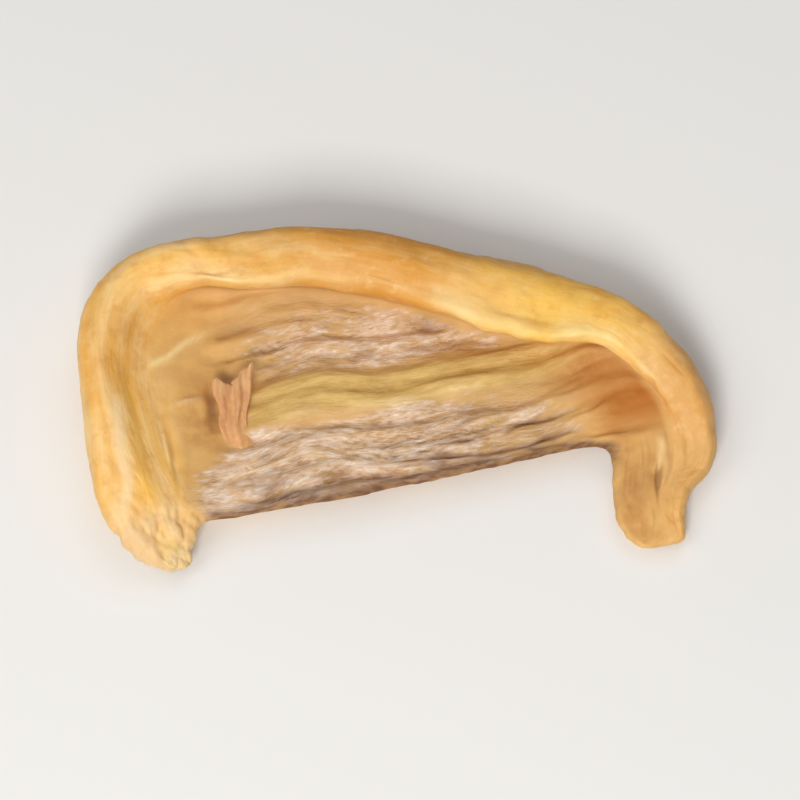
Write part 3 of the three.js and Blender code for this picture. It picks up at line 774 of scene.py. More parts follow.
@dataclass
class ZoneMasks:
    """The masks of the surface's zones, worked out from each vertex's place."""

    relief: FleshRelief
    points: SurfacePoints
    count: int
    fibres: Values

    @property
    def spot(self) -> tuple[Values, Values]:
        """Return every vertex's x and y."""
        return self.points.x, self.points.y

    @cached_property
    def drift(self) -> Values:
        """Return y as the fibres see it."""
        return self.relief.drift(*self.spot)

    @cached_property
    def face(self) -> Values:
        """Return how far each vertex lies on the cut face."""
        return self.relief.reach.on_face(self.points.place)

    @cached_property
    def cut(self) -> Values:
        """Return how far each vertex lies on the cut face or on the core edge's upper side."""
        place = self.points.place
        return smooth((place - 0.1) / 0.8) * smooth((self.relief.reach.face[1] + 1.0 - place) / 1.2)

    @cached_property
    def upside(self) -> Values:
        """Return how far each vertex lies off the underside."""
        return 1 - self.relief.reach.on_belly(self.points.place, self.count)

    @cached_property
    def legs(self) -> Values:
        """Return how far each vertex lies on the foot or the flap."""
        return smooth((-11.8 - self.points.y) / 1.4)

    @cached_property
    def flap(self) -> Values:
        """Return how far each vertex lies on the flap."""
        return self.legs * smooth((self.points.x - 10.0) / 5.0)

    @cached_property
    def stem(self) -> Values:
        """Return how far each vertex lies at the stem end."""
        return smooth((-18.5 - self.points.x) / 4.5)

    @cached_property
    def standing(self) -> Values:
        """Return how far each vertex lies on the stretch where the lip stands clear of the face."""
        arch = self.points.arch
        return between(arch, 6.2, 1.2, 16.5, 1.5)

    @cached_property
    def wander(self) -> Values:
        """Return the unevenness of the bands' borders, in millimetres."""
        x, y = self.spot
        return 0.5 * patchy(x / 4.1, y / 1.1, 41.0) + 0.4 * patchy(x / 2.2, y / 0.5, 42.0)

    @cached_property
    def lower_band(self) -> Values:
        """Return how far each vertex lies in the mauve band beside the core edge."""
        x, y = self.spot
        border = -2.9 - 0.63 * np.maximum(-14.2 - x, 0.0) - 0.22 * np.maximum(x - 5.0, 0.0)
        band = smooth((border - y + 0.7 + self.wander) / 2.0) * smooth((21.5 - x + 2.5 * self.wander) / 9.0)
        return band * smooth((x + 21.5 + self.wander) / 3.0)

    @cached_property
    def upper_band(self) -> Values:
        """Return how far each vertex lies in the mauve band under the rim."""
        x = self.points.x
        band = smooth((self.drift - 0.2 + self.wander) / 2.6)
        band *= smooth((8.4 + 3.0 * smooth((x + 4.0) / 5.0) - self.drift + self.wander) / 3.8)
        return band * smooth((x + 16.5 + 2.0 * self.wander) / 9.0) * smooth((21.0 - x) / 8.0)

    def band_masks(self) -> dict[Zone, Values]:
        """Return the masks of the bands that run along the cut face."""
        x, y = self.spot
        drift, wander = self.drift, self.wander
        olive = smooth((drift + 3.3) / 0.8) * smooth((1.8 - drift + 0.5 * wander) / 2.0)
        olive *= between(x, -18.0, 6.0, 21.0, 8.0)
        line = bell(drift, self.relief.form.line_y + 0.1, 0.34) * between(x, -14.0, 4.0, 15.0, 5.0)
        line *= smooth(0.6 + 0.9 * patchy(x / 3.1, y / 2.0, 33.0))
        rust = smooth((x - 14.6 + 0.8 * wander) / 4.5) * smooth((25.5 - x) / 1.5) * bell(y, -7.4, 4.0)
        mauve = np.clip(0.85 * self.upper_band + self.lower_band * (1 - 0.5 * smooth((x - 2.0) / 9.0)), 0, 1)
        return {
            Zone.FIBRES: between(x, -17.0, 7.0, 18.0, 7.0) * self.cut * (1 - self.legs),
            Zone.MAUVE: mauve * self.cut * (1 - self.legs),
            Zone.OLIVE: olive * self.face,
            Zone.LINE: line * self.face,
            Zone.RUST: rust * self.face * (1 - self.legs),
            Zone.RIDGE: np.clip(0.5 + 0.5 * self.fibres, 0, 1),
        }

    def lip_masks(self) -> dict[Zone, Values]:
        """Return the masks of the lip's golds, of the painted highlight on its inner edge, of the painted
        shade below that and on its outer border, and of its painted light.
        """
        x, y = self.spot
        arch, place, reach = self.points.arch, self.points.place, self.relief.reach
        lip = smooth((place - reach.face[1] + 0.4 - 1.5 * self.standing) / 1.8)
        lip *= smooth((self.count - 1.0 - place) / 1.5)
        gold = np.maximum(lip, self.stem * (1 - 0.3 * self.face)) + 0.5 * self.legs * self.face
        # A painted highlight: a pale band along the lip's inner edge where it stands clear of the face.
        wide_edge = 0.7 + 0.75 * bell(arch, 12.4, 1.9)
        painted_edge_highlight = bell(place, reach.lip[0] + 2.7 + 0.6 * wide_edge, wide_edge) * self.standing
        painted_edge_highlight *= smooth(0.7 + 0.5 * patchy(arch * 1.7, 0.0 * arch, 44.0))
        painted_edge_highlight *= 0.35 + 0.65 * np.clip(bell(arch, 6.9, 0.9) + bell(arch, 12.4, 2.1), 0, 1)
        # Painted shade on the face just under the standing lip.
        under = bell(place, reach.lip[0] + 0.9, 1.1) * self.standing
        under *= 1 - 0.4 * smooth((arch - 11.0) / 2.0)
        # Painted light: bright gold on the left roll's inner side, which the lamps leave in shade, and on
        # the lip's right stretch where light shines through.
        bright_side = bell(x, -24.5, 0.9) * between(y, -10.5, 3.0, 4.5, 3.0) * self.upside
        deep = bell(arch, 10.4, 1.9) + 0.35 * bell(arch, 4.6, 1.2) * smooth((self.drift + 2.0) / 6.0)
        # Painted shade on the lip's outer side, where the rim rolls away from the light.
        border = smooth((place - 16.8) / 1.3) * (1 - self.legs) * smooth((arch - 5.8) / 1.5)
        return {
            Zone.LIP: np.clip(gold, 0, 1) * (1 - 0.55 * self.flap),
            Zone.CREST: painted_edge_highlight,
            Zone.DEEP: deep + 0.25 * bell(arch, 2.9, 1.4) * bell(place, 15.5, 2.5),
            Zone.SUNNY: np.clip(bell(arch, 13.0, 1.5) + 0.6 * bright_side, 0, 1),
            Zone.PEACH: smooth((arch - 14.2) / 1.5),
            Zone.UNDER: under,
            Zone.BORDER: border * (1 - 0.6 * smooth((arch - 12.0) / 3.0)),
        }

    def bleached_and_highlight(self) -> Values:
        """Return how pale each vertex is: faded fibres in the mauve bands, and a painted highlight with a
        chalky cast in a streak down the left roll.
        """
        x, y = self.spot
        fibres = self.lower_band * bell(x, -12.0, 6.5)
        fibres += 0.9 * bell(x, -0.5, 5.0) * bell(self.drift, 3.0, 1.7)
        fibres *= smooth(0.75 + patchy(x / 2.6, self.drift / 0.8, 43.0))
        # The streak down the left roll is a painted highlight on its crest, with some chalky bloom.
        streak = bell(x, -25.9 + 0.08 * y + 0.5 * patchy(y / 3.4, 0.0 * y, 45.0), 0.65)
        streak *= between(y, -11.5, 3.0, 2.8, 3.0)
        streak *= smooth(0.8 + 0.8 * patchy(x / 0.7, y / 1.6, 46.0))
        return fibres * self.cut + streak * (1 - self.cut) * self.upside

    def pale(self) -> Values:
        """Return how far each vertex is pale: on the foot, the sliver, the fold and the flap's lobe."""
        x, y = self.spot
        relief = self.relief
        foot = 0.75 * smooth((-7.5 - y) / 3.5) * smooth((-19.5 - x) / 3.0)
        pale = np.maximum(1.2 * self.legs * smooth(-x / 10.0), foot)
        pale += (1.2 * relief.sliver(x, y) + 0.15 * relief.pale_fold(x, y)) * self.face
        pale += 0.25 * self.flap * bell(relief.hang(x, y), relief.lobe_at, 0.6) * self.face
        return pale * (1.0 + 0.5 * relief.tufts(x, y))

    def amber(self) -> Values:
        """Return how far each vertex is amber: round the scrap, at both ends and on the flap."""
        x, y = self.spot
        streaked = patchy((x - self.relief.flap_slope * y) / 0.9, y / 3.5, 48.0)
        amber = bell(x, -18.0, 2.1) * bell(y, -1.4, 3.6) * smooth(0.7 + 0.6 * patchy(x / 1.2, y / 2.4, 49.0))
        amber += 0.5 * smooth(-0.2 + 1.4 * patchy(x / 3.3, y / 2.6, 47.0)) * self.stem
        amber += 0.85 * bell(x, 17.5, 3.2) * bell(y, -3.0, 2.6)
        return amber + self.flap * (0.4 + 0.5 * smooth(0.3 + streaked))

    def gaps(self) -> Values:
        """Return how far each vertex gets painted shade: in a gap, a pit, a crease and the flap's hollow."""
        x, y = self.spot
        relief = self.relief
        gaps = (0.8 * relief.crevices(x, y) + relief.edge_gaps(x, y)) * (1 - self.legs)
        gaps += 0.8 * relief.pits(x, y) + relief.flap_crease(x, y)
        # The hollow on the flap's left lobe gets painted shade.
        hollow = bell(relief.hang(x, y), relief.hollow_at, 1.1) * between(y, -18.5, 3.0, -11.4, 2.0)
        streaked = smooth(0.8 + 0.8 * patchy((x - relief.flap_slope * y) / 0.7, y / 2.8, 53.0))
        return gaps + 0.32 * self.flap * hollow * streaked

    def core_edge(self) -> Values:
        """Return how far each vertex lies on the dark core edge."""
        arch, place = self.points.arch, self.points.place
        edge = smooth((2.1 - place + 0.8 * self.wander) / 1.3) + smooth((place - self.count + 1.6) / 1.4)
        edge *= (1 - 0.8 * self.legs) * smooth((self.points.x + 20.5) / 2.0)
        return edge * smooth(arch - 0.6) * smooth(LAST - 0.8 - arch)

    def masks(self) -> dict[Zone, Values]:
        """Return each zone's mask, from 0 to 1."""
        # The pale fold keeps its own cream; the streak on the flap is a painted highlight.
        folds = 0.75 * self.relief.pale_fold(*self.spot) + 0.5 * self.relief.flap_highlight(*self.spot)
        return {
            **self.band_masks(),
            **self.lip_masks(),
            Zone.PALE: np.clip(self.pale(), 0, 1),
            Zone.EDGE: np.clip(self.core_edge(), 0, 1),
            Zone.FOLD: folds * self.face,
            Zone.AMBER: np.clip(self.amber(), 0, 1) * self.face,
            Zone.BLEACHED: np.clip(self.bleached_and_highlight(), 0, 1),
            Zone.CREVICE: np.clip(self.gaps(), 0, 1) * self.cut,
        }

    def store(self, skin: bpy.types.Object) -> None:
        """Write the masks and the ways that the grain runs as attributes of the skin's vertices."""
        for zone, mask in self.masks().items():
            keep_mask(skin.data, zone, mask)
        x, y, z = self.points.xyz.T
        bent = self.drift + 0.45 * patchy(x / 5.0, self.drift / 1.9, 31.0)
        lip_run = (self.points.arch * SECTION_RUN, self.points.girth, z * 0.0)
        for run, axes in ((Run.FACE, (x, bent, z)), (Run.LIP, lip_run)):
            attribute = skin.data.attributes.new(run.value, "FLOAT_VECTOR", "POINT")
            attribute.data.foreach_set("vector", np.stack(axes, axis=1).astype(np.float32).ravel())


@dataclass
class TornScrap:
    """The small blade of flesh torn up from the face: two points at its top, thin and lifted there."""

    form: SliceForm
    across: int = 14
    along: int = 18
    foot_y: float = -5.3
    thick: float = 0.65
    centre: tuple[float, float, float] = (-15.2, 0.2, 3.0)
    lift: float = 1.7

    def build(self) -> bpy.types.Object:
        """Shape a grid into the blade, give it its thickness and round it."""
        bpy.ops.object.select_all(action="DESELECT")
        bpy.ops.mesh.primitive_grid_add(x_subdivisions=self.across, y_subdivisions=self.along, size=2.0)
        scrap = bpy.context.object
        scrap.name = scrap.data.name = "torn_scrap"
        shift = Vector((*self.form.box_middle, 0.0))
        for vertex in scrap.data.vertices:
            vertex.co = (self.shaped(vertex.co.x, vertex.co.y) + Vector(self.centre) - shift) * MM
        wall = scrap.modifiers.new("wall", "SOLIDIFY")
        wall.thickness = self.thick * MM
        wall.offset = -1.0
        bpy.ops.object.modifier_apply(modifier=wall.name)
        rounding = scrap.modifiers.new("rounding", "SUBSURF")
        rounding.levels = rounding.render_levels = 2
        bpy.ops.object.modifier_apply(modifier=rounding.name)
        heights = np.array([vertex.co.y for vertex in scrap.data.vertices])
        rise = (heights - heights.min()) / (heights.max() - heights.min())
        keep_mask(scrap.data, Zone.SCRAP, smooth(0.35 + rise / 0.3))
        # The scrap's upper part takes the painted highlight.
        keep_mask(scrap.data, Zone.CREST, smooth((rise - 0.6) / 0.4))
        log.info("scrap: %d vertices", len(scrap.data.vertices))
        return scrap

    def shaped(self, u: float, v: float) -> Vector:
        """Return the blade's point for a grid place.

        Args:
            u: -1 at the left border to 1 at the right one.
            v: -1 at the root to 1 at the torn top.

        Returns:
            The point round the blade's own middle, in millimetres.
        """
        rise = (v + 1.0) / 2.0
        left = mix(-1.5, -0.9, rise) - 0.3 * math.sin(math.pi * rise * 0.9) + 0.14 * math.sin(13.0 * rise)
        right = mix(0.9, 2.6, rise**1.6) + 0.24 * math.sin(10.0 * rise + 1.2) * (1.0 - 0.6 * rise)
        x = mix(left, right, (u + 1.0) / 2.0)
        dip = max(0.0, 1.0 - abs(u + 0.25) / 0.85) ** 1.2
        top = 2.45 + 0.3 * u - 1.35 * dip + 0.16 * math.sin(14.0 * u + 1.0)
        y = mix(self.foot_y + 0.7 * u * u, top, rise)
        folds = 0.17 * math.sin(5.5 * u + 1.5 * rise) + 0.07 * math.sin(13.0 * u - 3.0 * rise)
        curl = 0.55 * max(0.0, u) ** 2 * rise**2 + 0.3 * max(0.0, -u) ** 2 * rise**3
        z = self.lift * float(smooth(0.15 + 0.85 * rise)) + folds * (0.4 + 0.6 * rise) + curl
        z -= 0.55 * max(0.0, 1.0 - rise / 0.3) ** 1.5
        return Vector((x, y, z))


Colour = tuple[float, float, float]


def painted(red: int, green: int, blue: int) -> Colour:
    """Turn a colour as seen on a screen, 0 to 255, into the linear numbers that shaders use."""
    return tuple(
        value / 12.92 if value <= 0.04045 else ((value + 0.055) / 1.055) ** 2.4
        for value in (red / 255.0, green / 255.0, blue / 255.0)
    )


@dataclass(frozen=True)
class Signal:
    """A number that varies over the surface: a node's output, added and multiplied like a number."""

    bench: "NodeBench"
    socket: bpy.types.NodeSocket

    def __add__(self, other: "Signal | float") -> "Signal":
        """Return the sum of this and another signal or number."""
        return self.bench.combined("ADD", self, other)

    def __sub__(self, other: "Signal | float") -> "Signal":
        """Return this less another signal or number."""
        return self.bench.combined("SUBTRACT", self, other)

    def __mul__(self, other: "Signal | float") -> "Signal":
        """Return the product of this and another signal or number."""
        return self.bench.combined("MULTIPLY", self, other)

    def spread(self, low: float, high: float, to_low: float = 0.0, to_high: float = 1.0) -> "Signal":
        """Return this eased so that low becomes to_low and high becomes to_high, held between them."""
        node = self.bench.tree.nodes.new("ShaderNodeMapRange")
        node.interpolation_type = "SMOOTHSTEP"
        for name, number in (("From Min", low), ("From Max", high), ("To Min", to_low), ("To Max", to_high)):
            node.inputs[name].default_value = number
        self.bench.link(node.inputs["Value"], self)
        return Signal(self.bench, node.outputs["Result"])


Paint = bpy.types.NodeSocket | Colour
Grains = dict[str, Signal]


@dataclass(frozen=True)
class NodeBench:
    """A material's node tree, with short calls for the nodes that the flesh uses."""

    tree: bpy.types.NodeTree

    def link(self, target: bpy.types.NodeSocket, source: Signal | Paint | float) -> None:
        """Feed a socket from a signal or another socket, or set it to a number or numbers."""
        if isinstance(source, Signal):
            self.tree.links.new(source.socket, target)
        elif isinstance(source, bpy.types.NodeSocket):
            self.tree.links.new(source, target)
        else:
            target.default_value = source

    def mask(self, zone: Zone) -> Signal:
        """Return a zone's mask from the mesh."""
        node = self.tree.nodes.new("ShaderNodeAttribute")
        node.attribute_name = zone.value
        return Signal(self, node.outputs["Fac"])

    def noise(
        self,
        cells: tuple[float, float, float],
        detail: float = 3.0,
        roughness: float = 0.55,
        shift: float = 0.0,
        run: Run | None = None,
    ) -> Signal:
        """Return noise on the piece's own coordinates or along one of the grain's ways.

        Args:
            cells: How many noise cells there are along x, y and z: in a metre, or on a run in a millimetre.
            detail: How many finer layers are added.
            roughness: How strong the finer layers are.
            shift: An offset that picks another part of the noise.
            run: The way of the grain that the noise follows, if it follows one.

        Returns:
            The noise, from 0 to 1.
        """
        if run is None:
            place = self.tree.nodes.new("ShaderNodeTexCoord").outputs["Object"]
        else:
            way = self.tree.nodes.new("ShaderNodeAttribute")
            way.attribute_name = run.value
            place = way.outputs["Vector"]
        mapping = self.tree.nodes.new("ShaderNodeMapping")
        mapping.inputs["Scale"].default_value = cells
        mapping.inputs["Location"].default_value = (shift, shift, shift)
        noise = self.tree.nodes.new("ShaderNodeTexNoise")
        for name, number in (("Scale", 1.0), ("Detail", detail), ("Roughness", roughness)):
            noise.inputs[name].default_value = number
        self.link(mapping.inputs["Vector"], place)
        self.link(noise.inputs["Vector"], mapping.outputs["Vector"])
        return Signal(self, noise.outputs["Fac"])

    def combined(self, operation: str, first: Signal, second: Signal | float) -> Signal:
        """Return two values combined by a Math node's operation."""
        node = self.tree.nodes.new("ShaderNodeMath")
        node.operation = operation
        self.link(node.inputs[0], first)
        self.link(node.inputs[1], second)
        return Signal(self, node.outputs["Value"])

    def coats(self, ground: Paint, *layers: tuple[Signal, Paint]) -> bpy.types.NodeSocket:
        """Lay colours over a ground.

        Args:
            ground: The colour underneath.
            layers: How far each coat covers what lies under it, and its colour, the lowest coat first.

        Returns:
            The colour that shows.
        """
        for share, colour in layers:
            node = self.tree.nodes.new("ShaderNodeMix")
            node.data_type = "RGBA"
            self.link(node.inputs["Factor"], share)
            for name, paint in (("A", ground), ("B", colour)):
                socket = next(s for s in node.inputs if s.name == name and s.type == "RGBA")
                self.link(socket, (*paint, 1.0) if isinstance(paint, tuple) else paint)
            ground = next(s for s in node.outputs if s.type == "RGBA")
        return ground


@dataclass(frozen=True)
class FleshFinish:
    """The finish of the dried flesh: golden where it rolled up, fibrous and mauve where it was cut."""

    gold_pale: Colour = painted(253, 214, 146)
    gold_light: Colour = painted(248, 196, 104)
    gold_deep: Colour = painted(216, 144, 44)
    # Painted light: a brighter gold for the lit and glowing parts of the lip.
    lit_gold: Colour = painted(254, 200, 80)
    peach: Colour = painted(224, 167, 95)
    honey: Colour = painted(232, 184, 112)
    tan: Colour = painted(212, 164, 98)
    # Painted shade for the lip's outer border.
    border: Colour = painted(176, 122, 54)
    amber: Colour = painted(188, 128, 66)
    # Painted highlight with chalky bloom, for the streak down the left roll.
    chalk_and_highlight: Colour = painted(250, 218, 166)
    cream_and_highlight: Colour = painted(255, 234, 172)
    # Painted shade under the lip.
    under: Colour = painted(170, 126, 84)
    # Painted shade for gaps, pits and creases.
    gap_shade: Colour = painted(126, 84, 58)
    umber: Colour = painted(210, 174, 128)
    mauve_light: Colour = painted(244, 230, 216)
    mauve_mid: Colour = painted(220, 190, 164)
    mauve_deep: Colour = painted(168, 130, 100)
    olive_light: Colour = painted(226, 190, 116)
    olive_deep: Colour = painted(194, 154, 80)
    core_line: Colour = painted(244, 212, 150)
    rust: Colour = painted(184, 110, 34)
    pale: Colour = painted(226, 192, 146)
    edge: Colour = painted(116, 76, 48)
    scrap_light: Colour = painted(226, 172, 118)
    scrap_deep: Colour = painted(194, 134, 84)
    roughness: tuple[float, float] = (0.46, 0.66)
    subsurface: tuple[float, float] = (0.1, 0.28)
    bleed: Colour = (1.0, 0.48, 0.16)
    bleed_reach: float = 1.6 * MM
    specular: float = 0.4
    bump_height: float = 0.12 * MM
    bump_strength: float = 0.7

    def material(self) -> bpy.types.Material:
        """Build the node material that the whole slice wears."""
        material = bpy.data.materials.new("dried_persimmon_flesh")
        material.use_nodes = True
        bench = NodeBench(material.node_tree)
        shader = material.node_tree.nodes["Principled BSDF"]
        grains = self.grains(bench)
        lip = bench.mask(Zone.LIP)
        feeds = {
            "Base Color": self.colour(bench, grains),
            "Roughness": grains["grain"].spread(0.3, 0.7, *self.roughness) + lip.spread(0.0, 1.0, 0.14, 0.0),
            "Normal": self.bump(bench, grains),
            "Subsurface Weight": lip.spread(0.0, 1.0, *self.subsurface),
            "Subsurface Radius": self.bleed,
            "Subsurface Scale": self.bleed_reach,
            "Specular IOR Level": self.specular,
        }
        for name, source in feeds.items():
            bench.link(shader.inputs[name], source)
        return material

    def grains(self, bench: NodeBench) -> Grains:
        """Make the noises that break up the colours and raise the fine grain."""
        return {
            "streaks": bench.noise((0.26, 1.9, 0.9), detail=4.0, roughness=0.65, run=Run.FACE),
            "strands": bench.noise((0.6, 2.5, 1.2), roughness=0.6, shift=4.0, run=Run.FACE),
            "threads": bench.noise((1.3, 6.5, 2.4), detail=2.0, roughness=0.5, shift=6.0, run=Run.FACE),
            "knots": bench.noise((0.5, 1.2, 0.7), detail=4.0, roughness=0.65, shift=7.0, run=Run.FACE),
            "swells": bench.noise((0.13, 0.42, 0.0), roughness=0.5, shift=9.0, run=Run.LIP),
            "wisps": bench.noise((0.5, 2.4, 0.0), detail=4.0, roughness=0.65, shift=3.0, run=Run.LIP),
            "torn": bench.noise((1300.0, 330.0, 1300.0), detail=5.0, roughness=0.7, shift=13.0),
            "blotches": bench.noise((170.0, 240.0, 240.0), shift=9.0),
            "pores": bench.noise((620.0, 620.0, 620.0), roughness=0.6, shift=11.0),
            "grain": bench.noise((1500.0, 1500.0, 1500.0), detail=4.0, roughness=0.6, shift=2.0),
            "dust": bench.noise((3800.0, 3800.0, 3800.0), detail=2.0, shift=5.0),
        }

    def colour(self, bench: NodeBench, grains: Grains) -> bpy.types.NodeSocket:
        """Lay the zones' colours over each other, from the cut face up to the scrap."""
        mask = bench.mask
        dusty = grains["wisps"].spread(0.3, 0.65, 0.45, 0.95)
        torn = (grains["torn"].spread(0.3, 0.7), self.scrap_light)
        # The scrap's top gets a painted highlight in the pale colour.
        scrap = bench.coats(self.scrap_deep, torn, (mask(Zone.CREST) * 0.3, self.pale))
        return bench.coats(
            self.face_colour(bench, grains),
            (mask(Zone.LIP), self.lip_colour(bench, grains)),
            (mask(Zone.PALE) * dusty, self.pale),
            # Cream on the pale fold, and a painted highlight down the flap.
            (mask(Zone.FOLD) * dusty, self.cream_and_highlight),
            (mask(Zone.EDGE) * grains["strands"].spread(0.35, 0.65, 0.6, 0.98), self.edge),
            (mask(Zone.SCRAP), scrap),
        )

    def face_colour(self, bench: NodeBench, grains: Grains) -> bpy.types.NodeSocket:
        """Colour the cut face: tan and honey, an olive band, mauve fibres, the core line and a rusty end,
        with painted shade in the gaps, pits and creases and under the lip, and fibre ridges painted lighter
        than their grooves.
        """
        mask = bench.mask
        streaks = grains["streaks"].spread(0.36, 0.64)
        strands = grains["strands"].spread(0.36, 0.64)
        threads = grains["threads"].spread(0.36, 0.64)
        knots = grains["knots"].spread(0.36, 0.66)
        patches = grains["blotches"].spread(0.34, 0.64)
        olive = bench.coats(self.olive_deep, (streaks * 0.55 + strands * 0.45, self.olive_light))
        # Fibre ridges are painted lighter and grooves darker: painted highlight and shade, over the fibres'
        # own pale and dark strands.
        height = mask(Zone.RIDGE) * 0.36 + strands * 0.2 + knots * 0.2 + threads * 0.22
        height += mask(Zone.BLEACHED) * 0.12
        mauve = bench.coats(self.mauve_deep, (height.spread(0.22, 0.52), self.mauve_mid))
        mauve = bench.coats(mauve, (height.spread(0.5, 0.86), self.mauve_light))
        frayed = mask(Zone.MAUVE) + (strands - 0.5) * 0.45 + knots.spread(0.0, 1.0, -0.2, 0.2)
        torn = frayed.spread(0.0, 1.1) * mask(Zone.MAUVE).spread(0.0, 0.5)
        return bench.coats(
            self.tan,
            (patches, self.honey),
            (mask(Zone.FIBRES) * 0.5, self.umber),
            (mask(Zone.AMBER) * grains["pores"].spread(0.34, 0.62, 0.45, 0.95), self.amber),
            ((mask(Zone.FIBRES) * 0.3 + 0.12) * streaks, self.olive_deep),
            (mask(Zone.OLIVE) * 0.85, olive),
            (torn * 0.82, mauve),
            (mask(Zone.LINE) * knots.spread(0.0, 1.0, 0.5, 0.95), self.core_line),
            # Painted shade in the gaps, pits and creases.
            (mask(Zone.CREVICE) * 0.8, self.gap_shade),
            (mask(Zone.RUST) * patches.spread(0.0, 1.0, 0.7, 0.95), self.rust),
            # Painted shade under the lip.
            (mask(Zone.UNDER) * grains["wisps"].spread(0.3, 0.7, 0.5, 0.75), self.under),
        )

    def lip_colour(self, bench: NodeBench, grains: Grains) -> bpy.types.NodeSocket:
        """Colour the lip: gold that deepens, brightens and pales along the arch, with fine wisps, painted
        shade on the outer border, painted light on the right stretch and the left roll's inner side, and
        painted highlights on the inner edge and down the left roll.
        """
        mask = bench.mask
        swells, wisps, pores = grains["swells"], grains["wisps"], grains["pores"]
        return bench.coats(
            self.gold_light,
            (swells.spread(0.34, 0.66), self.gold_pale),
            (mask(Zone.DEEP) * swells.spread(0.3, 0.7, 1.0, 0.55), self.gold_deep),
            # Painted light on the lip's right stretch and the left roll's inner side.
            (mask(Zone.SUNNY) * 0.8, self.lit_gold),
            (mask(Zone.PEACH) * 0.8, self.peach),
            (wisps.spread(0.34, 0.66) * 0.14, self.gold_deep),
            (grains["blotches"].spread(0.55, 0.75, 0.0, 0.4), self.gold_deep),
            (pores.spread(0.5, 0.7, 0.0, 0.3), self.gold_deep),
            (pores.spread(0.46, 0.3, 0.0, 0.3), self.gold_pale),
            (grains["dust"].spread(0.55, 0.8, 0.0, 0.25), self.pale),
            # Painted shade on the outer border.
            (mask(Zone.BORDER) * wisps.spread(0.3, 0.7, 0.5, 0.8), self.border),
            (mask(Zone.BLEACHED) * wisps.spread(0.3, 0.6, 0.5, 0.95), self.chalk_and_highlight),
            # Painted highlight along the lip's inner edge.
            (mask(Zone.CREST) * 0.72, self.cream_and_highlight),
        )

    def bump(self, bench: NodeBench, grains: Grains) -> bpy.types.NodeSocket:
        """Raise fine strands on the cut face, wisps on the lip and a fine grain all over."""
        strands = grains["streaks"] + grains["strands"] + grains["threads"] * 0.7
        height = strands * bench.mask(Zone.FIBRES) + grains["wisps"] * bench.mask(Zone.LIP) * 0.5
        height += grains["grain"] * 0.4
        node = bench.tree.nodes.new("ShaderNodeBump")
        node.inputs["Strength"].default_value = self.bump_strength
        node.inputs["Distance"].default_value = self.bump_height
        bench.link(node.inputs["Height"], height + grains["pores"] * 0.5)
        return node.outputs["Normal"]


@dataclass
class PersimmonSlice:
    """The whole slice: the skin joined with the scrap, in one mesh with one finish."""

    form: SliceForm = SliceForm()
    finish: FleshFinish = FleshFinish()

    def build(self) -> bpy.types.Object:
        """Build, join and dress the slice."""
        skin = SliceSkin(self.form, FleshRelief(self.form)).build()
        scrap = TornScrap(self.form).build()
        join = skin.modifiers.new("join", "BOOLEAN")
        join.operation = "UNION"
        join.solver = "MANIFOLD"
        join.object = scrap
        bpy.ops.object.select_all(action="DESELECT")
        bpy.context.view_layer.objects.active = skin
        skin.select_set(True)
        bpy.ops.object.modifier_apply(modifier=join.name)
        bpy.data.objects.remove(scrap)
        skin.data.materials.clear()
        skin.data.materials.append(self.finish.material())
        bpy.ops.object.shade_smooth_by_angle(angle=math.radians(60.0))
        return skin


@dataclass(frozen=True)
class Lamp:
    """A soft square lamp: its direction in degrees, its distance and side in metres, its power in watts."""

    name: str
    azimuth: float
    elevation: float
    distance: float
    side: float
    power: float
    colour: Colour


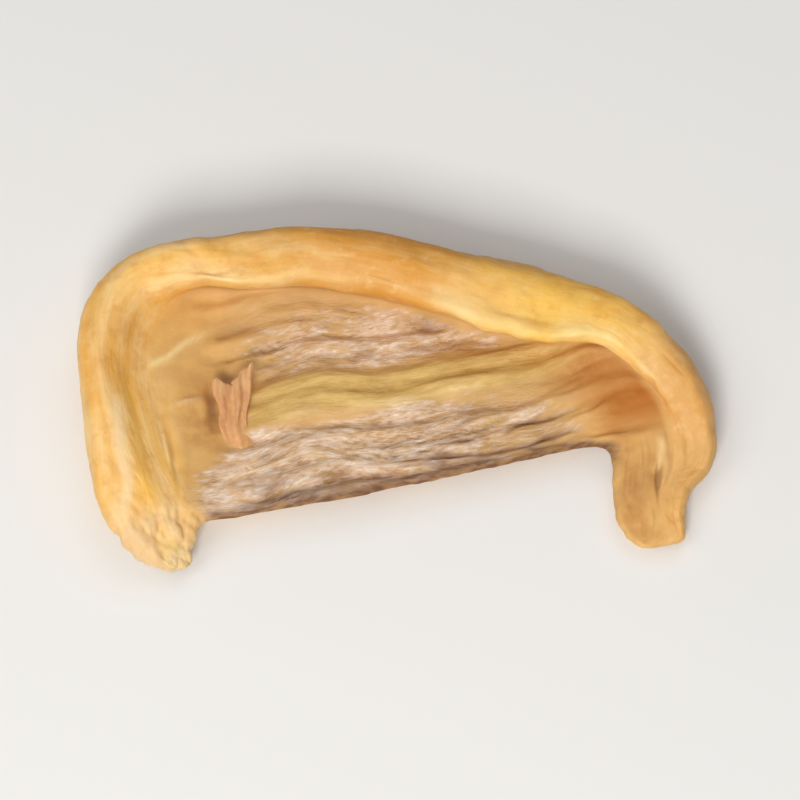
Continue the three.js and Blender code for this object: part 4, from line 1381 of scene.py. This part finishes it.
@dataclass(frozen=True)
class Studio:
    """A plain pale floor, soft lights and the camera at the photograph's angle."""

    azimuth: float = -12.0
    elevation: float = 68.0
    lens: float = 150.0
    sensor: float = 36.0
    frame_width: float = 0.0735
    aim: tuple[float, float, float] = (0.0005, -0.0005, 0.0040)
    floor_side: float = 3.0
    floor_colour: Colour = (0.87, 0.865, 0.855)
    room_colour: Colour = (1.0, 0.985, 0.965)
    room_strength: float = 0.27
    lamps: tuple[Lamp, ...] = (
        Lamp("key", -22.0, 44.0, 0.55, 0.2, 2.0, (1.0, 0.985, 0.955)),
        Lamp("side", -80.0, 52.0, 0.6, 0.35, 0.7, (1.0, 0.985, 0.96)),
        Lamp("back", 150.0, 55.0, 0.7, 0.4, 0.6, (1.0, 0.99, 0.98)),
    )

    def towards(self, azimuth: float, elevation: float) -> Vector:
        """Return the direction from the slice to a place round it. Angles are in degrees."""
        turn, rise = math.radians(azimuth), math.radians(elevation)
        return Vector((math.sin(turn) * math.cos(rise), -math.cos(turn) * math.cos(rise), math.sin(rise)))

    def floor(self) -> bpy.types.Object:
        """Lay the floor under the slice."""
        bpy.ops.object.select_all(action="DESELECT")
        bpy.ops.mesh.primitive_plane_add(size=self.floor_side, location=(0.0, 0.0, 0.0))
        floor = bpy.context.object
        floor.name = "pale_floor"
        material = bpy.data.materials.new("pale_floor")
        material.use_nodes = True
        shader = material.node_tree.nodes["Principled BSDF"]
        shader.inputs["Base Color"].default_value = (*self.floor_colour, 1.0)
        shader.inputs["Roughness"].default_value = 0.7
        shader.inputs["Specular IOR Level"].default_value = 0.2
        floor.data.materials.append(material)
        return floor

    def hang(self, lamp: Lamp) -> None:
        """Hang one lamp so that it faces the slice."""
        light = bpy.data.lights.new(lamp.name, "AREA")
        light.shape = "SQUARE"
        light.size = lamp.side
        light.energy = lamp.power
        light.color = lamp.colour
        hung = bpy.data.objects.new(lamp.name, light)
        way = self.towards(lamp.azimuth, lamp.elevation)
        hung.location = way * lamp.distance
        hung.rotation_euler = way.to_track_quat("Z", "Y").to_euler()
        bpy.context.scene.collection.objects.link(hung)

    def light(self) -> None:
        """Hang the lamps and set the room's own light."""
        for lamp in self.lamps:
            self.hang(lamp)
        world = bpy.data.worlds.new("room")
        world.use_nodes = True
        background = world.node_tree.nodes["Background"]
        background.inputs["Color"].default_value = (*self.room_colour, 1.0)
        background.inputs["Strength"].default_value = self.room_strength
        bpy.context.scene.world = world
        bpy.context.scene.view_settings.view_transform = "Standard"

    def camera(self) -> None:
        """Place the camera so that the slice fills most of the square frame."""
        data = bpy.data.cameras.new("camera")
        data.lens = self.lens
        data.sensor_width = self.sensor
        data.clip_start = 0.01
        camera = bpy.data.objects.new("camera", data)
        way = self.towards(self.azimuth, self.elevation)
        distance = self.frame_width * self.lens / data.sensor_width
        camera.location = Vector(self.aim) + way * distance
        camera.rotation_euler = way.to_track_quat("Z", "Y").to_euler()
        bpy.context.scene.collection.objects.link(camera)
        bpy.context.scene.camera = camera

    def build(self) -> None:
        """Set up the floor, the lamps and the camera."""
        self.floor()
        self.light()
        self.camera()


def main() -> None:
    """Build the studio and the slice, and tie the slice to the frame."""
    logging.basicConfig(level=logging.INFO, format="%(name)s: %(message)s")
    Studio().build()
    dressed = PersimmonSlice().build()
    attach(dressed, "root")
    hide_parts(NODE)
    log.info("%s: %d faces", dressed.name, len(dressed.data.polygons))


if __name__ == "__main__":
    main()
